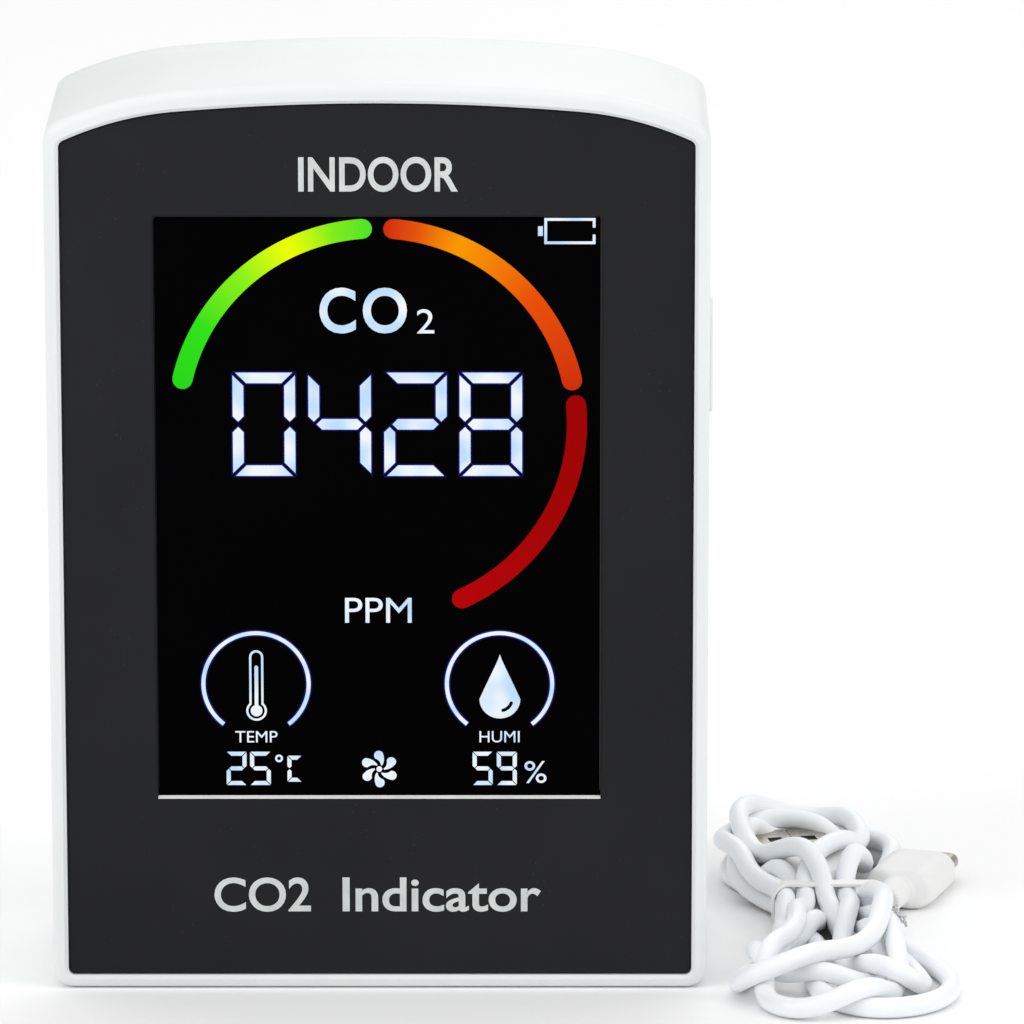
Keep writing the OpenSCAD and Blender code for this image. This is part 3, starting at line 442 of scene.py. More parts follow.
def along_plug(piece, at, turn):
    """Turns a finished plug piece to its place on the hank and fixes it there"""
    pick(piece)
    piece.rotation_euler = (0, 0, math.radians(turn))
    piece.location = (tie_x + at[0], tie_y + at[1], 0)
    bpy.ops.object.transform_apply(location=True, rotation=True, scale=True)


def grip_rings(profile, z):
    """Rings of a moulded grip from (distance, half width, half thickness, corner) in millimetres"""
    return [oval(w * MM, t * MM, c * MM, y * MM, z=z, steps=10) for y, w, t, c in profile]


grip_white = finish("plug_grip_white", (0.80, 0.81, 0.80), (0.86, 0.86, 0.85), (0.42, 0.55), 4000, 45, 0.12,
                    0.00004)
plug_steel = finish("drawn_steel", (0.36, 0.33, 0.29), (0.50, 0.47, 0.42), (0.24, 0.40), 1400, 220, 0.10,
                    0.00002, 1.0, (6, 0.6, 6))

usb_a_grip = loft("usb_a_grip_moulding", grip_rings([
    (0, 1.9, 1.9, 1.85), (0.3, 2.3, 2.2, 2.15), (2.6, 2.4, 2.4, 2.35), (3.2, 3.0, 2.7, 2.4),
    (3.9, 4.3, 3.1, 2.3), (5.2, 5.2, 3.45, 2.2), (8, 5.8, 3.6, 2.1), (12, 6.2, 3.7, 2.0),
    (16, 6.45, 3.7, 1.9), (16.7, 6.3, 3.6, 1.8), (17, 5.9, 3.3, 1.6),
], plug_a_z))
smooth(usb_a_grip, 50)
along_plug(usb_a_grip, plug_a_at, plug_a_turn)
coat(usb_a_grip, grip_white)
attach(usb_a_grip, "casing")
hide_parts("usb_a_grip")

shell_y, shell_l = 17 * MM, 12 * MM
usb_a_shell = loft("usb_a_shell_folded", [
    oval(6 * MM, 2.25 * MM, 0.5 * MM, shell_y, z=plug_a_z),
    oval(6 * MM, 2.25 * MM, 0.5 * MM, shell_y + shell_l - 0.2 * MM, z=plug_a_z),
    oval(5.9 * MM, 2.15 * MM, 0.4 * MM, shell_y + shell_l, z=plug_a_z),
])
cut(usb_a_shell, bar_along_y("shell_inside", 5.65 * MM, 1.9 * MM, 0.25 * MM, 17.4 * MM, 31 * MM, z=plug_a_z))
for x in (-2.6 * MM, 2.6 * MM):
    cut(usb_a_shell, bar_along_y(
        "shell_window", 1.1 * MM, 3 * MM, 0.15 * MM, 22.5 * MM, 24.7 * MM, x, plug_a_z + 3 * MM))
cut(usb_a_shell, bar_along_y("shell_seam", 0.06 * MM, 0.2 * MM, 0.02 * MM, 17.5 * MM, 30 * MM, 0,
                             plug_a_z + 2.27 * MM))
smooth(usb_a_shell)
along_plug(usb_a_shell, plug_a_at, plug_a_turn)
coat(usb_a_shell, plug_steel)
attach(usb_a_shell, "casing")
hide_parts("usb_a_shell")

usb_c_grip = loft("usb_c_grip_moulding", grip_rings([
    (0, 1.8, 1.8, 1.75), (0.3, 2.2, 2.1, 2.05), (5.2, 2.4, 2.3, 2.25), (5.8, 3.0, 2.5, 2.3),
    (6.4, 4.4, 2.8, 2.6), (7.2, 5.2, 2.95, 2.8), (9, 5.5, 3.0, 2.95), (17.6, 5.5, 3.0, 2.95),
    (18.5, 5.3, 2.85, 2.8), (19, 4.8, 2.4, 2.35),
], plug_c_z))
smooth(usb_c_grip, 50)
along_plug(usb_c_grip, plug_c_at, plug_c_turn)
coat(usb_c_grip, grip_white)
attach(usb_c_grip, "casing")
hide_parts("usb_c_grip")

usb_c_shell = loft("usb_c_shell_drawn", [
    oval(4.15 * MM, 1.25 * MM, 1.2 * MM, 19 * MM, z=plug_c_z),
    oval(4.15 * MM, 1.25 * MM, 1.2 * MM, 23.7 * MM, z=plug_c_z),
    oval(3.95 * MM, 1.05 * MM, 1.0 * MM, 24 * MM, z=plug_c_z)])
cut(usb_c_shell, bar_along_y("c_shell_inside", 3.8 * MM, 0.9 * MM, 0.85 * MM, 19.4 * MM, 26 * MM, z=plug_c_z))
smooth(usb_c_shell)
along_plug(usb_c_shell, plug_c_at, plug_c_turn)
coat(usb_c_shell, plug_steel)
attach(usb_c_shell, "casing")
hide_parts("usb_c_shell")

# ---------------------------------------------------------------------------
# The twist tie: a flat white sleeve over a steel wire, wrapped round the waist
# of the hank, with its bare wire ends twisted together at the right.
# ---------------------------------------------------------------------------
band_w = 2.4 * MM
bundle_x, bundle_h = -0.9 * MM, 6.7 * MM
bundle = oval(8.8 * MM, bundle_h / 2, 2.4 * MM, 0, bundle_x, bundle_h / 2, 12)


def tie_lean(x, z):
    """How far the sleeve leans back at a point: most at the top of the bundle, and not at its sides"""
    return 2.2 * MM * (z / bundle_h) * (1 - ((x - bundle_x) / (9.5 * MM)) ** 2)


tie = loft("twist_tie_sleeve", [
    [(tie_x + x, tie_y + tie_lean(x, z) + s * band_w, z) for x, y, z in bundle] for s in (-0.5, 0.5)])
edit(tie)
bpy.ops.mesh.select_mode(type="FACE")
bpy.ops.mesh.select_all(action="DESELECT")
band = bmesh.from_edit_mesh(tie.data)
for face in band.faces:
    face.select_set(len(face.verts) > 4)
bmesh.update_edit_mesh(tie.data)
bpy.ops.mesh.delete(type="ONLY_FACE")
done()
settle(tie, kind="SOLIDIFY", thickness=tie_t, offset=-1, use_even_offset=True)
settle(tie, kind="BEVEL", width=0.12 * MM, segments=2, limit_method="ANGLE", angle_limit=math.radians(40))
smooth(tie, 40)
tie_white = finish("tie_sleeve_white", (0.82, 0.83, 0.81), (0.90, 0.90, 0.88), (0.35, 0.5), 3000, 300, 0.2,
                   0.00005)
coat(tie, tie_white)
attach(tie, "casing")
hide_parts("cable_tie")

wire_steel = finish("bare_tie_wire", (0.45, 0.45, 0.45), (0.62, 0.62, 0.62), (0.2, 0.35), 2000, 400, 0.1,
                    0.00002, 1.0)
for number, (phase, reach) in enumerate(((0, 5.4), (math.pi, 4.6))):
    ends = bpy.data.curves.new("tie_wire", "CURVE")
    ends.dimensions = "3D"
    strand = ends.splines.new("POLY")
    turns = 34
    strand.points.add(turns)
    for k in range(turns + 1):
        t = k / turns
        a = phase + 5.2 * math.pi * t
        strand.points[k].co = (
            tie_x + (7.2 + reach * 0.62 * t + 0.32 * math.cos(a)) * MM,
            tie_y + (-0.4 - reach * 0.72 * t + 0.24 * math.sin(a)) * MM,
            (4.2 - 2.6 * t * t + 0.32 * math.sin(a)) * MM, 1)
    ends.bevel_depth = 0.2 * MM
    ends.bevel_resolution = 2
    ends.use_fill_caps = True
    piece = bpy.data.objects.new("tie_wire_end_%d" % (number + 1), ends)
    bpy.context.scene.collection.objects.link(piece)
    pick(piece)
    bpy.ops.object.convert(target="MESH")
    piece = bpy.context.object
    coat(piece, wire_steel)
    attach(piece, "casing")

# ---------------------------------------------------------------------------
# The front shell: a deep white moulding with a flat rim round the dark panel,
# an arched top, bosses for the case screws and posts for the board.
# ---------------------------------------------------------------------------
shell_low, shell_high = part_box("front_shell")
cover_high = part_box("back_cover")[1]
panel_low, panel_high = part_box("front_panel")
board_low, board_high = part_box("main_board")
body_w, body_h = shell_high.x - shell_low.x, shell_high.z
front_y, back_y = shell_low.y, cover_high.y
wall, cover_d = 2 * MM, 6 * MM
seam_y = back_y - cover_d
crown_r, shoulder_r, shoulder_w, corner_r, base_corner_r = 340 * MM, 50 * MM, 18.5 * MM, 3.4 * MM, 3 * MM
rim_side, rim_top, rim_base = 2.2 * MM, 2.8 * MM, 2 * MM


def casing_outline(side, top, base, y):
    """Points round the casing's front view, moved inwards at the sides, the top and the base"""
    half = body_w / 2 - side
    rc, rs = crown_r - top, shoulder_r - side
    rt, rb = max(corner_r - side, 0.4 * MM), max(base_corner_r - base, 0.4 * MM)
    crown_a = math.asin((body_w / 2 - shoulder_w) / crown_r)
    crown_z = body_h - crown_r
    xs, zs = (rc - rs) * math.sin(crown_a), crown_z + (rc - rs) * math.cos(crown_a)
    shoulder_a = math.asin((half - rt - xs) / (rs - rt))
    zt = zs + (rs - rt) * math.cos(shoulder_a)
    right = []
    quarter = math.pi / 2
    for cx, cz, r, a0, a1, n in (
        (half - rb, base + rb, rb, -quarter, 0, 8),
        (half - rt, zt, rt, 0, quarter - shoulder_a, 10),
        (xs, zs, rs, quarter - shoulder_a, quarter - crown_a, 20),
        (0, crown_z, rc, quarter - crown_a, quarter, 24),
    ):
        first = 1 if right and cz != zt else 0
        for i in range(first, n + 1):
            a = a0 + (a1 - a0) * i / n
            right.append((cx + r * math.cos(a), y, cz + r * math.sin(a)))
    return right + [(-x, py, z) for x, py, z in reversed(right[:-1])]


def even_outline(inset, y):
    return casing_outline(inset, inset, inset, y)


def rim_outline(inset, y):
    """The outline of the rim's inner edge, moved inwards"""
    return casing_outline(rim_side + inset, rim_top + inset, rim_base + inset, y)


def rod(name, x, z, r, y0, y1, sides=32):
    """A round bar along Y"""
    return loft(name, [[(a, y, b) for a, b in circle(x, z, r, sides)] for y in (y0, y1)])


def join(pieces):
    deselect()
    for piece in pieces:
        piece.select_set(True)
    bpy.context.view_layer.objects.active = pieces[0]
    bpy.ops.object.join()
    return bpy.context.object


front_round = 1.6 * MM
ledge_y = panel_high.y
inner_y = ledge_y + 1.6 * MM
groove = 0.12 * MM
edge_turns = [math.pi / 2 * i / 8 for i in range(9)]
rounded = [even_outline(front_round * (1 - math.sin(a)), front_y + front_round * (1 - math.cos(a)))
           for a in edge_turns]
shell = loft("front_shell_moulding", [
    *rounded, even_outline(0, seam_y - groove), even_outline(groove, seam_y)])
flare = 0.5 * MM
cut(shell, loft("panel_pocket", [
    rim_outline(-flare, front_y - 1 * MM), rim_outline(-flare, front_y), rim_outline(0, front_y + flare),
    rim_outline(0, ledge_y)]))
cut(shell, loft("shell_cavity", [even_outline(wall, inner_y), even_outline(wall, seam_y + 1 * MM)]))
case_head_r, board_head_r, hole_r, boss_r = 2.1 * MM, 1.9 * MM, 1.05 * MM, 3.2 * MM


def four_places(node, head_r):
    """The (x, z) places of four like screws, from the box round all of them and the size of their heads"""
    low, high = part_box(node)
    right = high.x - head_r
    return [(x, z) for x in (-right, right) for z in (low.z + head_r, high.z - head_r)]


bosses, posts = four_places("case_screws", case_head_r), four_places("board_screws", board_head_r)
cut(shell, join(
    [rod("case_boss", x, z, boss_r, inner_y - 0.5 * MM, seam_y) for x, z in bosses]
    + [rod("board_post", x, z, 2.4 * MM, inner_y - 0.5 * MM, board_low.y) for x, z in posts]
), operation="UNION")
cut(shell, join(
    [rod("boss_hole", x, z, hole_r, seam_y - 11 * MM, seam_y + 1 * MM, 16) for x, z in bosses]
    + [rod("post_hole", x, z, hole_r, board_high.y - 6.5 * MM, board_low.y + 1 * MM, 16) for x, z in posts]
))
cell_low, cell_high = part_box("lcd_cell")
cell_room = 0.3 * MM
cut(shell, bar_along_y(
    "display_opening", (cell_high.x - cell_low.x) / 2 + cell_room, (cell_high.z - cell_low.z) / 2 + cell_room,
    cell_room,
    ledge_y - 1 * MM, inner_y + 1 * MM, 0, (cell_low.z + cell_high.z) / 2, 2))


def capsule(w, l, steps):
    """Points (y, z) round an upright section whose upper and lower ends are round"""
    r = w / 2
    upper = [(r * math.cos(math.pi * i / steps), l / 2 - r + r * math.sin(math.pi * i / steps))
             for i in range(steps + 1)]
    return upper + [(-a, -b) for a, b in upper]


def slot_along_x(name, x0, x1, y, z, w, l):
    return loft(name, [[(x, y + a, z + b) for a, b in capsule(w, l, 10)] for x in (x0, x1)])


button_low, button_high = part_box("side_button")
button_y, button_z = (button_low.y + button_high.y) / 2, (button_low.z + button_high.z) / 2
button_w, button_l = 5.6 * MM, 17 * MM
socket_low, socket_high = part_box("usb_socket_shell")
socket_y, socket_z = (socket_low.y + socket_high.y) / 2, (socket_low.z + socket_high.z) / 2
wall_x = body_w / 2
button_gap, socket_gap = 0.24 * MM, 0.6 * MM
cut(shell, slot_along_x(
    "button_slot", wall_x - 3 * MM, wall_x + 1 * MM, button_y, button_z, button_w + button_gap,
    button_l + button_gap))
cut(shell, slot_along_x(
    "socket_slot", -wall_x - 1 * MM, -wall_x + 3 * MM, socket_y, socket_z,
    socket_high.y - socket_low.y + socket_gap, socket_high.z - socket_low.z + socket_gap))
smooth(shell)
shell_white = finish("casing_white", (0.78, 0.80, 0.80), (0.83, 0.85, 0.85), (0.34, 0.46), 5200, 22, 0.10,
                     0.00003)
coat(shell, shell_white)
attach(shell, "casing")
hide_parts("front_shell")

# ---------------------------------------------------------------------------
# The back cover: a shallow white tray with a rounded edge, two round slotted
# grilles for the fan and the sensor, and four deep recesses for the case screws.
# ---------------------------------------------------------------------------
back_round = 2.5 * MM
tray = [even_outline(groove, seam_y), even_outline(0, seam_y + groove)] + [
    even_outline(back_round * (1 - math.cos(a)), back_y - back_round * (1 - math.sin(a))) for a in edge_turns]
cover = loft("back_cover_moulding", tray)
cover_inner_y = back_y - wall
cut(cover, loft("cover_hollow", [even_outline(wall, seam_y - 1 * MM), even_outline(wall, cover_inner_y)]))
lip_fit, lip_t, lip_root = 0.15 * MM, 1.2 * MM, 0.3 * MM
lip = loft("cover_lip", [
    even_outline(wall + lip_fit, seam_y - 2 * MM), even_outline(wall + lip_fit, seam_y),
    even_outline(wall - lip_root, seam_y), even_outline(wall - lip_root, seam_y + 1.5 * MM)])
cut(lip, loft("lip_inside", [even_outline(wall + lip_fit + lip_t, seam_y + y) for y in (-3 * MM, 3 * MM)]))
cut(lip, join([rod("lip_gap", x, z, boss_r + lip_fit, seam_y - 3 * MM, seam_y) for x, z in bosses]))
cut(cover, lip, operation="UNION")
cut(cover, join([rod("screw_sleeve", x, z, boss_r, seam_y, back_y - 1.2 * MM) for x, z in bosses]),
    operation="UNION")
cut(cover, join([rod("screw_way", x, z, 1.3 * MM, seam_y - 1 * MM, back_y, 24) for x, z in bosses]))
cut(cover, join([rod("screw_recess", x, z, 2.5 * MM, back_y - 3 * MM, back_y + 1 * MM, 40) for x,
                 z in bosses]))
fan_low, fan_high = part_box("fan_frame")
fan_x, fan_z = (fan_low.x + fan_high.x) / 2, (fan_low.z + fan_high.z) / 2
fan_h = (fan_high.x - fan_low.x) / 2
sensor_low, sensor_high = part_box("co2_sensor_board")
pitch, slot_w = 3.2 * MM, 1.6 * MM
for x, radius in ((fan_x, fan_h - 1.1 * MM), ((sensor_low.x + sensor_high.x) / 2,
                                              (sensor_high.z - sensor_low.z) / 2)):
    rows = int(radius / pitch)
    slots = []
    for i in range(-rows, rows + 1):
        half = math.sqrt(radius ** 2 - (i * pitch) ** 2)
        if half > slot_w:
            slots.append(bar_along_y(
                "vent_slot", half, slot_w / 2, slot_w / 2 * 0.98, cover_inner_y - 1 * MM, back_y + 1 * MM, x,
                fan_z + i * pitch, 5))
    cut(cover, join(slots))
peg_reach = fan_h - 3 * MM
cut(cover, join([
    rod("fan_peg", fan_x + sx * peg_reach, fan_z + sz * peg_reach, 1.1 * MM, fan_low.y + 1 * MM,
        cover_inner_y + 0.5 * MM, 16)
    for sx in (-1, 1) for sz in (-1, 1)]), operation="UNION")
smooth(cover)
coat(cover, shell_white)
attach(cover, "casing")
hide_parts("back_cover")

# ---------------------------------------------------------------------------
# The front panel: a charcoal plate with a very fine matte texture, let into
# the rim. It carries the printed words and frames the display window.
# ---------------------------------------------------------------------------
lens_low, lens_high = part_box("display_lens")
fit = 0.15 * MM
win_x, win_z0, win_z1 = lens_high.x + fit, lens_low.z - fit, lens_high.z + fit
win_mid, win_h = (win_z0 + win_z1) / 2, (win_z1 - win_z0) / 2
edge = 0.18 * MM
panel = loft("face_panel", [
    rim_outline(fit + edge, panel_low.y), rim_outline(fit, panel_low.y + edge), rim_outline(fit, ledge_y)])
slant = 0.3 * MM
cut(panel, loft("window_cut", [
    oval(win_x + out, win_h + out, corner, y, 0, win_mid, 4) for out, corner, y in (
        (slant, 0.5 * MM, panel_low.y - 1 * MM), (slant, 0.5 * MM, panel_low.y),
        (0, 0.3 * MM, panel_low.y + slant), (0, 0.3 * MM, ledge_y + 1 * MM))]))
smooth(panel)
charcoal = finish("charcoal_matte", (0.009, 0.0095, 0.0105), (0.0125, 0.013, 0.0145), (0.5, 0.68), 7000, 30,
                  0.25, 0.00003)
charcoal_tree = charcoal.node_tree
charcoal_shader = charcoal_tree.nodes["Principled BSDF"]
charcoal_shader.inputs["Specular IOR Level"].default_value = 0.17
charcoal_base = charcoal_shader.inputs["Base Color"].links[0].from_socket
charcoal_place = charcoal_tree.nodes["Texture Coordinate"].outputs["Object"]
specks = wire(charcoal_tree, "ShaderNodeGroup", node_tree=dust)
specks.inputs["Scale"].default_value = 900
specks.inputs["Size"].default_value = 0.07
charcoal_tree.links.new(charcoal_place, specks.inputs["Place"])
dusty = wire(charcoal_tree, "ShaderNodeMixRGB", {"Color2": (0.05, 0.05, 0.05, 1)},
             {"Fac": specks.outputs["Specks"], "Color1": charcoal_base})
charcoal_tree.links.new(dusty.outputs["Color"], charcoal_shader.inputs["Base Color"])
coat(panel, charcoal)
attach(panel, "casing")
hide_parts("front_panel")

# A bevel along the window's lower edge only, coloured pale grey: the pale grey is a painted highlight where
# light falls on this edge
bevel_z = win_z0 + 0.36 * MM
bevel_back, bevel_front, bevel_low = lens_low.y - 0.01 * MM, panel_low.y + 0.04 * MM, win_z0 - 0.05 * MM
window_bevel = loft("window_lower_bevel", [
    [(x, bevel_back, bevel_low), (x, bevel_back, bevel_z), (x, lens_low.y - 0.03 * MM, bevel_z),
     (x, bevel_front, win_z0 + 0.02 * MM), (x, bevel_front, bevel_low)] for x in (-win_x, win_x)])
edge_highlight_paint = finish("painted_highlight_edge", (0.62, 0.63, 0.61), (0.74, 0.75, 0.73), (0.18, 0.3), 3000, 260, 0.1,
                  0.00002)
coat(window_bevel, edge_highlight_paint)
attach(window_bevel, "casing")

# ---------------------------------------------------------------------------
# The printed words: silver ink, screen printed on the panel above and below
# the window. They are plain descriptive words.
# ---------------------------------------------------------------------------


def letters(name, words, box, weight, y, material):
    """Raised words that fill a box of (left, right, bottom, top) millimetres on a front-facing plane"""
    x0, x1, z0, z1 = (value * MM for value in box)
    deselect()
    bpy.ops.object.text_add()
    piece = bpy.context.object
    piece.name = name
    piece.data.body = words
    piece.data.size = 1
    piece.data.offset = weight
    piece.data.resolution_u = 6
    bpy.ops.object.convert(target="MESH")
    bpy.ops.object.shade_flat()
    piece = bpy.context.object
    spots = np.array([v.co for v in piece.data.vertices])
    low, high = spots.min(0), spots.max(0)
    for vertex in piece.data.vertices:
        vertex.co = (
            x0 + (vertex.co.x - low[0]) / (high[0] - low[0]) * (x1 - x0), y,
            z0 + (vertex.co.y - low[1]) / (high[1] - low[1]) * (z1 - z0))
    raise_print(piece)
    coat(piece, material)
    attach(piece, "casing")
    return piece


def raise_print(piece):
    """Gives a flat front-facing shape the thickness of a printed layer"""
    edit(piece)
    bpy.ops.mesh.select_all(action="SELECT")
    bpy.ops.mesh.remove_doubles(threshold=0.000002)
    bpy.ops.mesh.normals_make_consistent(inside=False)
    bpy.ops.mesh.extrude_region_move(TRANSFORM_OT_translate={"value": (0, -0.00002, 0)})
    bpy.ops.mesh.select_all(action="SELECT")
    bpy.ops.mesh.normals_make_consistent(inside=False)
    done()


ink = finish("silver_ink", (0.56, 0.59, 0.585), (0.68, 0.71, 0.70), (0.4, 0.6), 9000, 400, 0.2, 0.00002)
print_y = panel_low.y - 0.005 * MM
for name, words, box, weight in (
    ("print_place_word", "INDOOR", (-11.2, 11.5, 118.3, 123.4), 0.02),
    ("print_gas", "CO2", (-24.0, -10.0, 11.5, 16.7), 0.015),
    ("print_kind", "Indicator", (-5.4, 23.4, 11.5, 16.7), 0.015),
):
    letters(name, words, box, weight, print_y, ink)

# ---------------------------------------------------------------------------
# The display window: a smooth black plate behind the panel, with the cell's
# lit figures showing through it.
# ---------------------------------------------------------------------------
window = loft("display_window", [
    oval(lens_high.x - 0.1 * MM, win_h - 0.25 * MM, 0.25 * MM, lens_low.y, 0, win_mid, 4),
    oval(lens_high.x, win_h - fit, 0.3 * MM, lens_low.y + 0.1 * MM, 0, win_mid, 4),
    oval(lens_high.x, win_h - fit, 0.3 * MM, lens_high.y, 0, win_mid, 4)])
smooth(window)
window_black = finish("window_black", (0.0005, 0.0005, 0.0008), (0.0008, 0.0008, 0.0012), (0.10, 0.16), 600,
                      25, 0.02, 0.00001)
window_black.node_tree.nodes["Principled BSDF"].inputs["Specular IOR Level"].default_value = 0.008
coat(window, window_black)
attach(window, "casing")
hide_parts("display_lens")
lit_y = lens_low.y - 0.005 * MM
halo_y = lens_low.y - 0.001 * MM


def light(name, stops, strength, axis=None):
    """A glowing material whose colour runs through the stops, by degrees round an axis or by a slow noise"""
    material = bpy.data.materials.new(name)
    material.use_nodes = True
    tree = material.node_tree
    shader = tree.nodes["Principled BSDF"]
    shader.inputs["Base Color"].default_value = (0.001, 0.001, 0.001, 1)
    shader.inputs["Roughness"].default_value = 0.5
    shader.inputs["Specular IOR Level"].default_value = 0.0
    shader.inputs["Emission Strength"].default_value = strength
    place = wire(tree, "ShaderNodeTexCoord")
    if axis:
        move = wire(tree, "ShaderNodeMapping", {"Location": (-axis[0], 0, -axis[1])},
                    {"Vector": place.outputs["Object"]})
        part = wire(tree, "ShaderNodeSeparateXYZ", links={"Vector": move.outputs["Vector"]})
        angle = wire(tree, "ShaderNodeMath", {}, {0: part.outputs["Z"], 1: part.outputs["X"]},
                     operation="ARCTAN2")
        share = wire(tree, "ShaderNodeMapRange", {"From Min": -math.pi, "From Max": math.pi},
                     {"Value": angle.outputs[0]})
        source = share.outputs["Result"]
    else:
        noise = wire(tree, "ShaderNodeTexNoise", {"Scale": 300.0, "Detail": 0.0},
                     {"Vector": place.outputs["Object"]})
        source = noise.outputs["Fac"]
    ramp = wire(tree, "ShaderNodeValToRGB", links={"Fac": source})
    while len(ramp.color_ramp.elements) < len(stops):
        ramp.color_ramp.elements.new(0.5)
    for element, (position, colour) in zip(ramp.color_ramp.elements, sorted(stops)):
        element.position = (position + 180) / 360 if axis else position
        element.color = (*colour, 1)
    tree.links.new(ramp.outputs["Color"], shader.inputs["Emission Color"])
    return material


def lit_shape(name, outlines, y=None):
    """One flat lit shape from closed outlines of (x, z) in millimetres"""
    parts = []
    for outline in outlines:
        deselect()
        bpy.ops.mesh.primitive_circle_add(vertices=len(outline), radius=1, fill_type="NGON")
        part = bpy.context.object
        for vertex, (x, z) in zip(part.data.vertices, outline):
            vertex.co = (x * MM, lit_y if y is None else y, z * MM)
        parts.append(part)
    piece = join(parts)
    piece.name = name
    raise_print(piece)
    return piece


def show(piece, material):
    coat(piece, material)
    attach(piece, "casing")
    return piece


def arc_band(cx, cz, r, stroke, a0, a1, caps=True, steps=60):
    """Outline of a band along an arc, in millimetres, with round ends"""
    h = stroke / 2
    point = lambda radius, a: (cx + radius * math.cos(a), cz + radius * math.sin(a))
    a0, a1 = math.radians(a0), math.radians(a1)
    points = [point(r + h, a0 + (a1 - a0) * i / steps) for i in range(steps + 1)]
    side = 1 if a1 > a0 else -1

    def round_end(at, start):
        ex, ez = point(r, at)
        turns = [start + side * math.pi * i / 8 for i in range(1, 8)]
        return [(ex + h * math.cos(a), ez + h * math.sin(a)) for a in turns]

    if caps:
        points += round_end(a1, a1)
    points += [point(r - h, a1 + (a0 - a1) * i / steps) for i in range(steps + 1)]
    if caps:
        points += round_end(a0, a0 + math.pi)
    return points


ring = (-0.1, 84.3)
ring_r, ring_w = 28.6, 2.9
level_axis = (ring[0] * MM, ring[1] * MM)
level_green = light("level_green", [
    (92, (0.08, 0.76, 0.02)), (103, (0.22, 0.85, 0.01)), (116, (0.84, 1.0, 0.0)),
    (132, (0.24, 0.88, 0.01)), (150, (0.03, 0.76, 0.01)), (168, (0.02, 0.68, 0.01))], 1.0, level_axis)
level_amber = light("level_amber", [
    (10, (0.62, 0.028, 0.003)), (40, (0.82, 0.08, 0.002)), (66, (0.96, 0.32, 0.0)),
    (78, (0.78, 0.09, 0.003)), (88, (0.62, 0.022, 0.004))], 1.0, level_axis)
level_red = light("level_red", [
    (-66, (0.46, 0.001, 0.002)), (-30, (0.36, 0.001, 0.001)), (5, (0.34, 0.001, 0.001))],
    1.0, level_axis)
show(lit_shape("level_arc_low", [arc_band(*ring, ring_r, ring_w, 166.8, 94.2)]), level_green)
show(lit_shape("level_arc_middle", [arc_band(*ring, ring_r, ring_w, 85.2, 12.8)]), level_amber)
show(lit_shape("level_arc_high", [arc_band(*ring, ring_r, ring_w, 5.5, -65)]), level_red)

figure_white = light("figure_white", [(0.3, (0.54, 0.75, 0.98)), (0.7, (0.9, 0.95, 1.0))], 0.98)
soft_blue = light("figure_halo", [(0.3, (0.008, 0.008, 0.13)), (0.7, (0.012, 0.012, 0.17))], 1.0)


lit_bars = {"0": "abcdef", "2": "abged", "4": "fgbc", "5": "afgcd", "8": "abcdefg", "9": "abcdfg",
            "C": "afed"}


def figure(symbol, x0, x1, z0, z1, w, gap):
    """The lit bars of one seven-bar figure that fills the given box, mitred where they meet"""
    h, m = w / 2, (z0 + z1) / 2
    top = [(x0 + gap, z1), (x1 - gap, z1), (x1 - gap - w, z1 - w), (x0 + gap + w, z1 - w)]
    left = [(x0, z1 - gap), (x0, m + gap + h), (x0 + h, m + gap), (x0 + w, m + gap + h),
            (x0 + w, z1 - gap - w)]
    middle = [
        (x0 + gap + h, m), (x0 + gap + w, m + h), (x1 - gap - w, m + h),
        (x1 - gap - h, m), (x1 - gap - w, m - h), (x0 + gap + w, m - h)]
    across = lambda bar: [(x0 + x1 - x, z) for x, z in bar]
    below = lambda bar: [(x, z0 + z1 - z) for x, z in bar]
    bars = {
        "a": top, "b": across(left), "c": below(across(left)), "d": below(top), "e": below(left), "f": left,
        "g": middle}
    return [bars[bar] for bar in lit_bars[symbol]]


reading, glow = [], []
digit_w, digit_low, digit_high, bar_w, spill = 8.95, 76.6, 91.8, 1.55, 0.2
for symbol, x0 in zip("0428", (-20.8, -9.95, 0.9, 11.7)):
    reading += figure(symbol, x0, x0 + digit_w, digit_low, digit_high, bar_w, 0.4)
    glow += figure(
        symbol, x0 - spill, x0 + digit_w + spill, digit_low - spill, digit_high + spill, bar_w + 2 * spill,
        0.15)
show(lit_shape("reading_halo", glow, halo_y), soft_blue)
show(lit_shape("reading_figures", reading), figure_white)

small_figures = []
for symbol, x0, x1, z0, z1 in (
    ("2", -22.1, -19.2, 30.5, 35.5), ("5", -18.7, -15.7, 30.5, 35.5), ("C", -13.3, -11.2, 31, 34.9),
    ("5", 13.5, 16.4, 30.5, 35.5), ("9", 17.0, 19.9, 30.5, 35.5),
):
    small_figures += figure(symbol, x0, x1, z0, z1, 0.6, 0.09)
small_figures += [arc_band(-14.5, 34.5, 0.42, 0.3, 0, 359, False, 24)]
show(lit_shape("climate_figures", small_figures), figure_white)

for name, words, box, weight in (
    ("gas_name", "C", (-8.3, -3.1, 97.55, 104.25), 0.02),
    ("gas_name_o", "O", (-2.1, 4.2, 97.55, 104.25), 0.02),
    ("gas_name_two", "2", (5.6, 8.1, 97.55, 101.1), 0.0),
    ("reading_unit", "PPM", (-4.85, 4.75, 54.8, 58.5), 0.0),
    ("warmth_label", "TEMP", (-20.8, -14.7, 36.9, 38.6), 0.0),
    ("damp_label", "HUMI", (14.5, 20.3, 36.9, 38.6), 0.0),
    ("damp_unit", "%", (21.0, 24.2, 30.8, 34.1), 0.0),
):
    letters(name, words, box, weight, lit_y, figure_white)

# Temperature and humidity symbols, each in a ring that is open below
open_rings = lambda stroke, a0, a1: [arc_band(x, 45.65, 7.6, stroke, a0, a1, False) for x in (-17.75, 17.4)]
rings = open_rings(0.58, 232, -52)
show(lit_shape("climate_ring_halo", open_rings(1.0, 232.6, -52.6), halo_y), soft_blue)
show(lit_shape("climate_rings", rings), figure_white)
stem_x, bulb_z = -17.7, 41.65
drop_x, drop_z = 17.45, 43.4


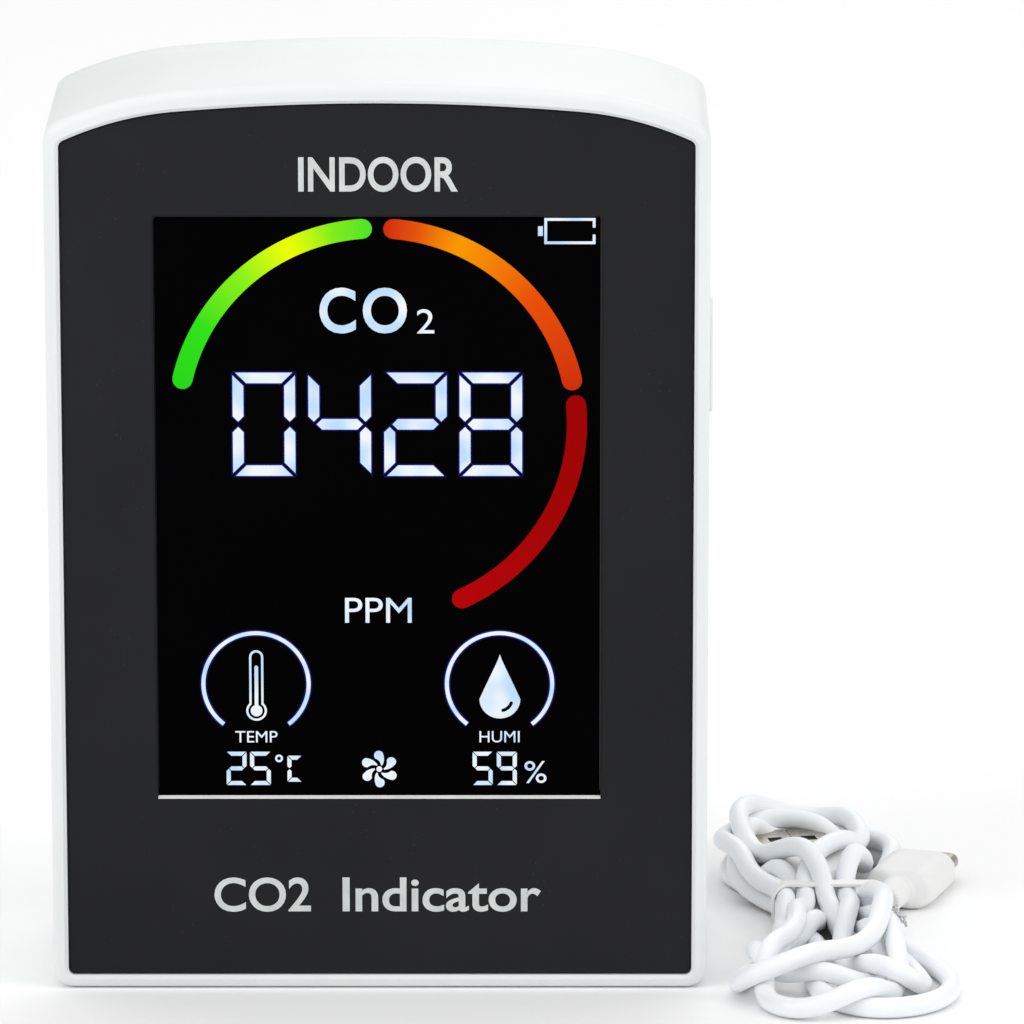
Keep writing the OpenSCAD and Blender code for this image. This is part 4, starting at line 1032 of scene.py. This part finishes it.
def thermometer(r_stem, r_bulb, cx, bulb_z, top_z):
    """Outline of a stem with a round top that runs into a round bulb"""
    join_a = math.asin(r_stem / r_bulb)
    bulb = [(cx + r_bulb * math.sin(a), bulb_z + r_bulb * math.cos(a))
            for a in np.linspace(join_a, 2 * math.pi - join_a, 28)]
    top = [(cx - r_stem * math.cos(a), top_z - r_stem + r_stem * math.sin(a))
           for a in np.linspace(0, math.pi, 12)]
    return bulb + top


glass_line = lit_shape("warmth_symbol_line", [thermometer(1.02, 1.5, stem_x, bulb_z, 50.7)])
cut(glass_line, loft("thermometer_inside", [
    [(x * MM, y, z * MM) for x, z in thermometer(0.7, 1.18, stem_x, bulb_z, 50.38)]
    for y in (lit_y - 1 * MM, lit_y + 1 * MM)]))
show(glass_line, figure_white)
show(lit_shape("warmth_symbol_fluid", [thermometer(0.27, 0.85, stem_x, bulb_z, 48.4)]), figure_white)
drop = []
for i in range(41):
    a = -math.pi / 2 + 2 * math.pi * i / 40
    lean = max(0.0, math.sin(a))
    drop.append((
        drop_x + 2.95 * math.cos(a) * (1 - lean) ** 0.7,
        drop_z + 2.9 * math.sin(a) if lean == 0 else drop_z + 6.7 * lean ** 1.15))
drop_shape = lit_shape("damp_symbol", [drop[:-1]])
cut(drop_shape, loft("drop_glint", [
    [(x * MM, y, z * MM) for x, z in arc_band(drop_x, drop_z, 1.75, 0.5, -75, -20, True, 10)]
    for y in (lit_y - 1 * MM, lit_y + 1 * MM)]))
show(drop_shape, figure_white)

# Battery symbol: a frame with its terminal at the left and a gap at the right
battery_marks = [
    [(23.8, 110.6), (31.1, 110.6), (31.1, 112.0), (30.7, 112.0), (30.7, 111.0), (24.2, 111.0),
     (24.2, 114.0), (30.7, 114.0), (30.7, 113.0), (31.1, 113.0), (31.1, 114.4), (23.8, 114.4)],
    [(22.9, 111.8), (23.6, 111.8), (23.6, 113.2), (22.9, 113.2)]]
show(lit_shape("battery_symbol", battery_marks), figure_white)

# Fan symbol: six curved blades round a dot
fan_mark_z = 32.9
blades = []
for k in range(6):
    left, right = [], []
    for t in np.linspace(0, 1, 8):
        r, a, h = 0.65 + 1.4 * t, math.radians(60 * k + 32 * t), 0.1 + 0.6 * t ** 1.2
        onward = a + math.atan2(0.56 * r, 1.4)
        cx, cz = r * math.cos(a), fan_mark_z + r * math.sin(a)
        left.append((cx - h * math.sin(onward), cz + h * math.cos(onward)))
        right.append((cx + h * math.sin(onward), cz - h * math.cos(onward)))
    tip_angles = [onward + math.pi / 2 - math.pi * i / 8 for i in range(1, 8)]
    tip = [(cx + h * math.cos(a), cz + h * math.sin(a)) for a in tip_angles]
    blades.append(left + tip + right[::-1])
blades.append(circle(0, fan_mark_z, 0.42, 16))
show(lit_shape("fan_symbol", blades), figure_white)

# ---------------------------------------------------------------------------
# The side button: a long white cap with a softened edge, moulded in one with
# its flange and push rod.
# ---------------------------------------------------------------------------
out_x = button_high.x


def button_ring(x, grow):
    """A ring round the button at x, wider and longer than its cap by the given amount"""
    return [(x, button_y + a, button_z + b) for a, b in capsule(button_w + grow, button_l + grow, 12)]


flange_x, flange_out = wall_x - wall - 0.12 * MM, 2.2 * MM
soft = 0.35 * MM
turns = [math.pi / 2 * i / 5 for i in range(6)]
button = loft("side_button_cap", [
    button_ring(flange_x - 1 * MM, flange_out), button_ring(flange_x, flange_out), button_ring(flange_x, 0),
    *(button_ring(out_x - soft + soft * math.sin(a), -2 * soft * (1 - math.cos(a))) for a in turns)])
push = loft("push_rod", [
    [(x, a, b) for a, b in circle(button_y, button_z, 1.5 * MM, 24)]
    for x in (button_low.x, flange_x - 0.5 * MM)])
cut(button, push, operation="UNION")
smooth(button)
coat(button, shell_white)
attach(button, "button")
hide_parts("side_button")

# ---------------------------------------------------------------------------
# What is inside the casing: the display stack, the boards and their chips, the
# sensors, the fan, the cell and its holder. Each carries its own finish.
# ---------------------------------------------------------------------------
inside = {
    "zinc_plated_steel": (("case_screws", "board_screws", "usb_socket_shell"), (0.42, 0.42, 0.43),
                          (0.60, 0.60, 0.60), (0.25, 0.42), 3500, 300, 0.15, 0.00003, 1.0),
    "tinned_metal": (("display_pins", "co2_sensor_pins", "climate_pins", "battery_contacts"),
                     (0.60, 0.60, 0.58), (0.76, 0.76, 0.74), (0.22, 0.36), 4000, 500, 0.1, 0.00002, 1.0),
    "black_moulding": (("lcd_holder", "buzzer", "usb_socket_tongue", "switch_body", "fan_frame", "fan_rotor",
                        "battery_holder"), (0.018, 0.018, 0.019), (0.032, 0.032, 0.034), (0.45, 0.62), 5000,
                        60, 0.2, 0.00004),
    "epoxy_black": (("processor_chip", "charger_chip", "climate_sensor"), (0.012, 0.012, 0.013),
                    (0.022, 0.022, 0.023), (0.5, 0.7), 9000, 200, 0.3, 0.00004),
    "ferrite_grey": (("power_inductor",), (0.05, 0.05, 0.052), (0.09, 0.09, 0.092), (0.55, 0.75), 6000, 300,
                     0.3, 0.00005),
    "green_mask": (("main_board", "co2_sensor_board", "climate_board"), (0.010, 0.10, 0.035),
                   (0.018, 0.16, 0.06), (0.25, 0.4), 2500, 500, 0.15, 0.00003),
    "gilt_chamber": (("co2_sensor_chamber",), (0.55, 0.40, 0.14), (0.72, 0.55, 0.22), (0.22, 0.34), 3000, 120,
                     0.1, 0.00002, 1.0),
    "porous_membrane": (("co2_sensor_filter",), (0.70, 0.70, 0.67), (0.85, 0.85, 0.82), (0.8, 0.95), 4000,
                        800, 0.5, 0.00008),
    "enamelled_copper": (("fan_stator",), (0.42, 0.16, 0.06), (0.60, 0.26, 0.12), (0.25, 0.4), 2600, 700, 0.4,
                         0.0001, 1.0),
    "lead_red": (("fan_leads",), (0.40, 0.02, 0.015), (0.55, 0.035, 0.025), (0.4, 0.55), 3000, 200, 0.1,
                 0.00003),
    "ivory_nylon": (("fan_socket",), (0.68, 0.62, 0.46), (0.78, 0.73, 0.58), (0.45, 0.6), 3500, 150, 0.15,
                    0.00004),
    "stem_amber": (("switch_plunger",), (0.45, 0.20, 0.03), (0.58, 0.28, 0.05), (0.35, 0.5), 4000, 300, 0.1,
                   0.00002),
    "cell_wrap_blue": (("battery_cell",), (0.015, 0.09, 0.36), (0.03, 0.14, 0.46), (0.22, 0.34), 1800, 80,
                       0.15, 0.00004),
    "display_glass_dark": (("lcd_cell",), (0.012, 0.012, 0.016), (0.02, 0.02, 0.026), (0.05, 0.12), 900, 40,
                           0.03, 0.00001),
    "light_guide_white": (("lcd_backlight",), (0.78, 0.80, 0.82), (0.86, 0.87, 0.89), (0.2, 0.35), 1500, 100,
                          0.1, 0.00003),
    "insert_white": (("usb_a_insert",), (0.78, 0.78, 0.76), (0.84, 0.84, 0.82), (0.4, 0.5), 4000, 200, 0.1,
                     0.00003),
}
for name, (nodes, *values) in inside.items():
    material = finish(name, *values)
    for node in nodes:
        coat(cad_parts[node], material)
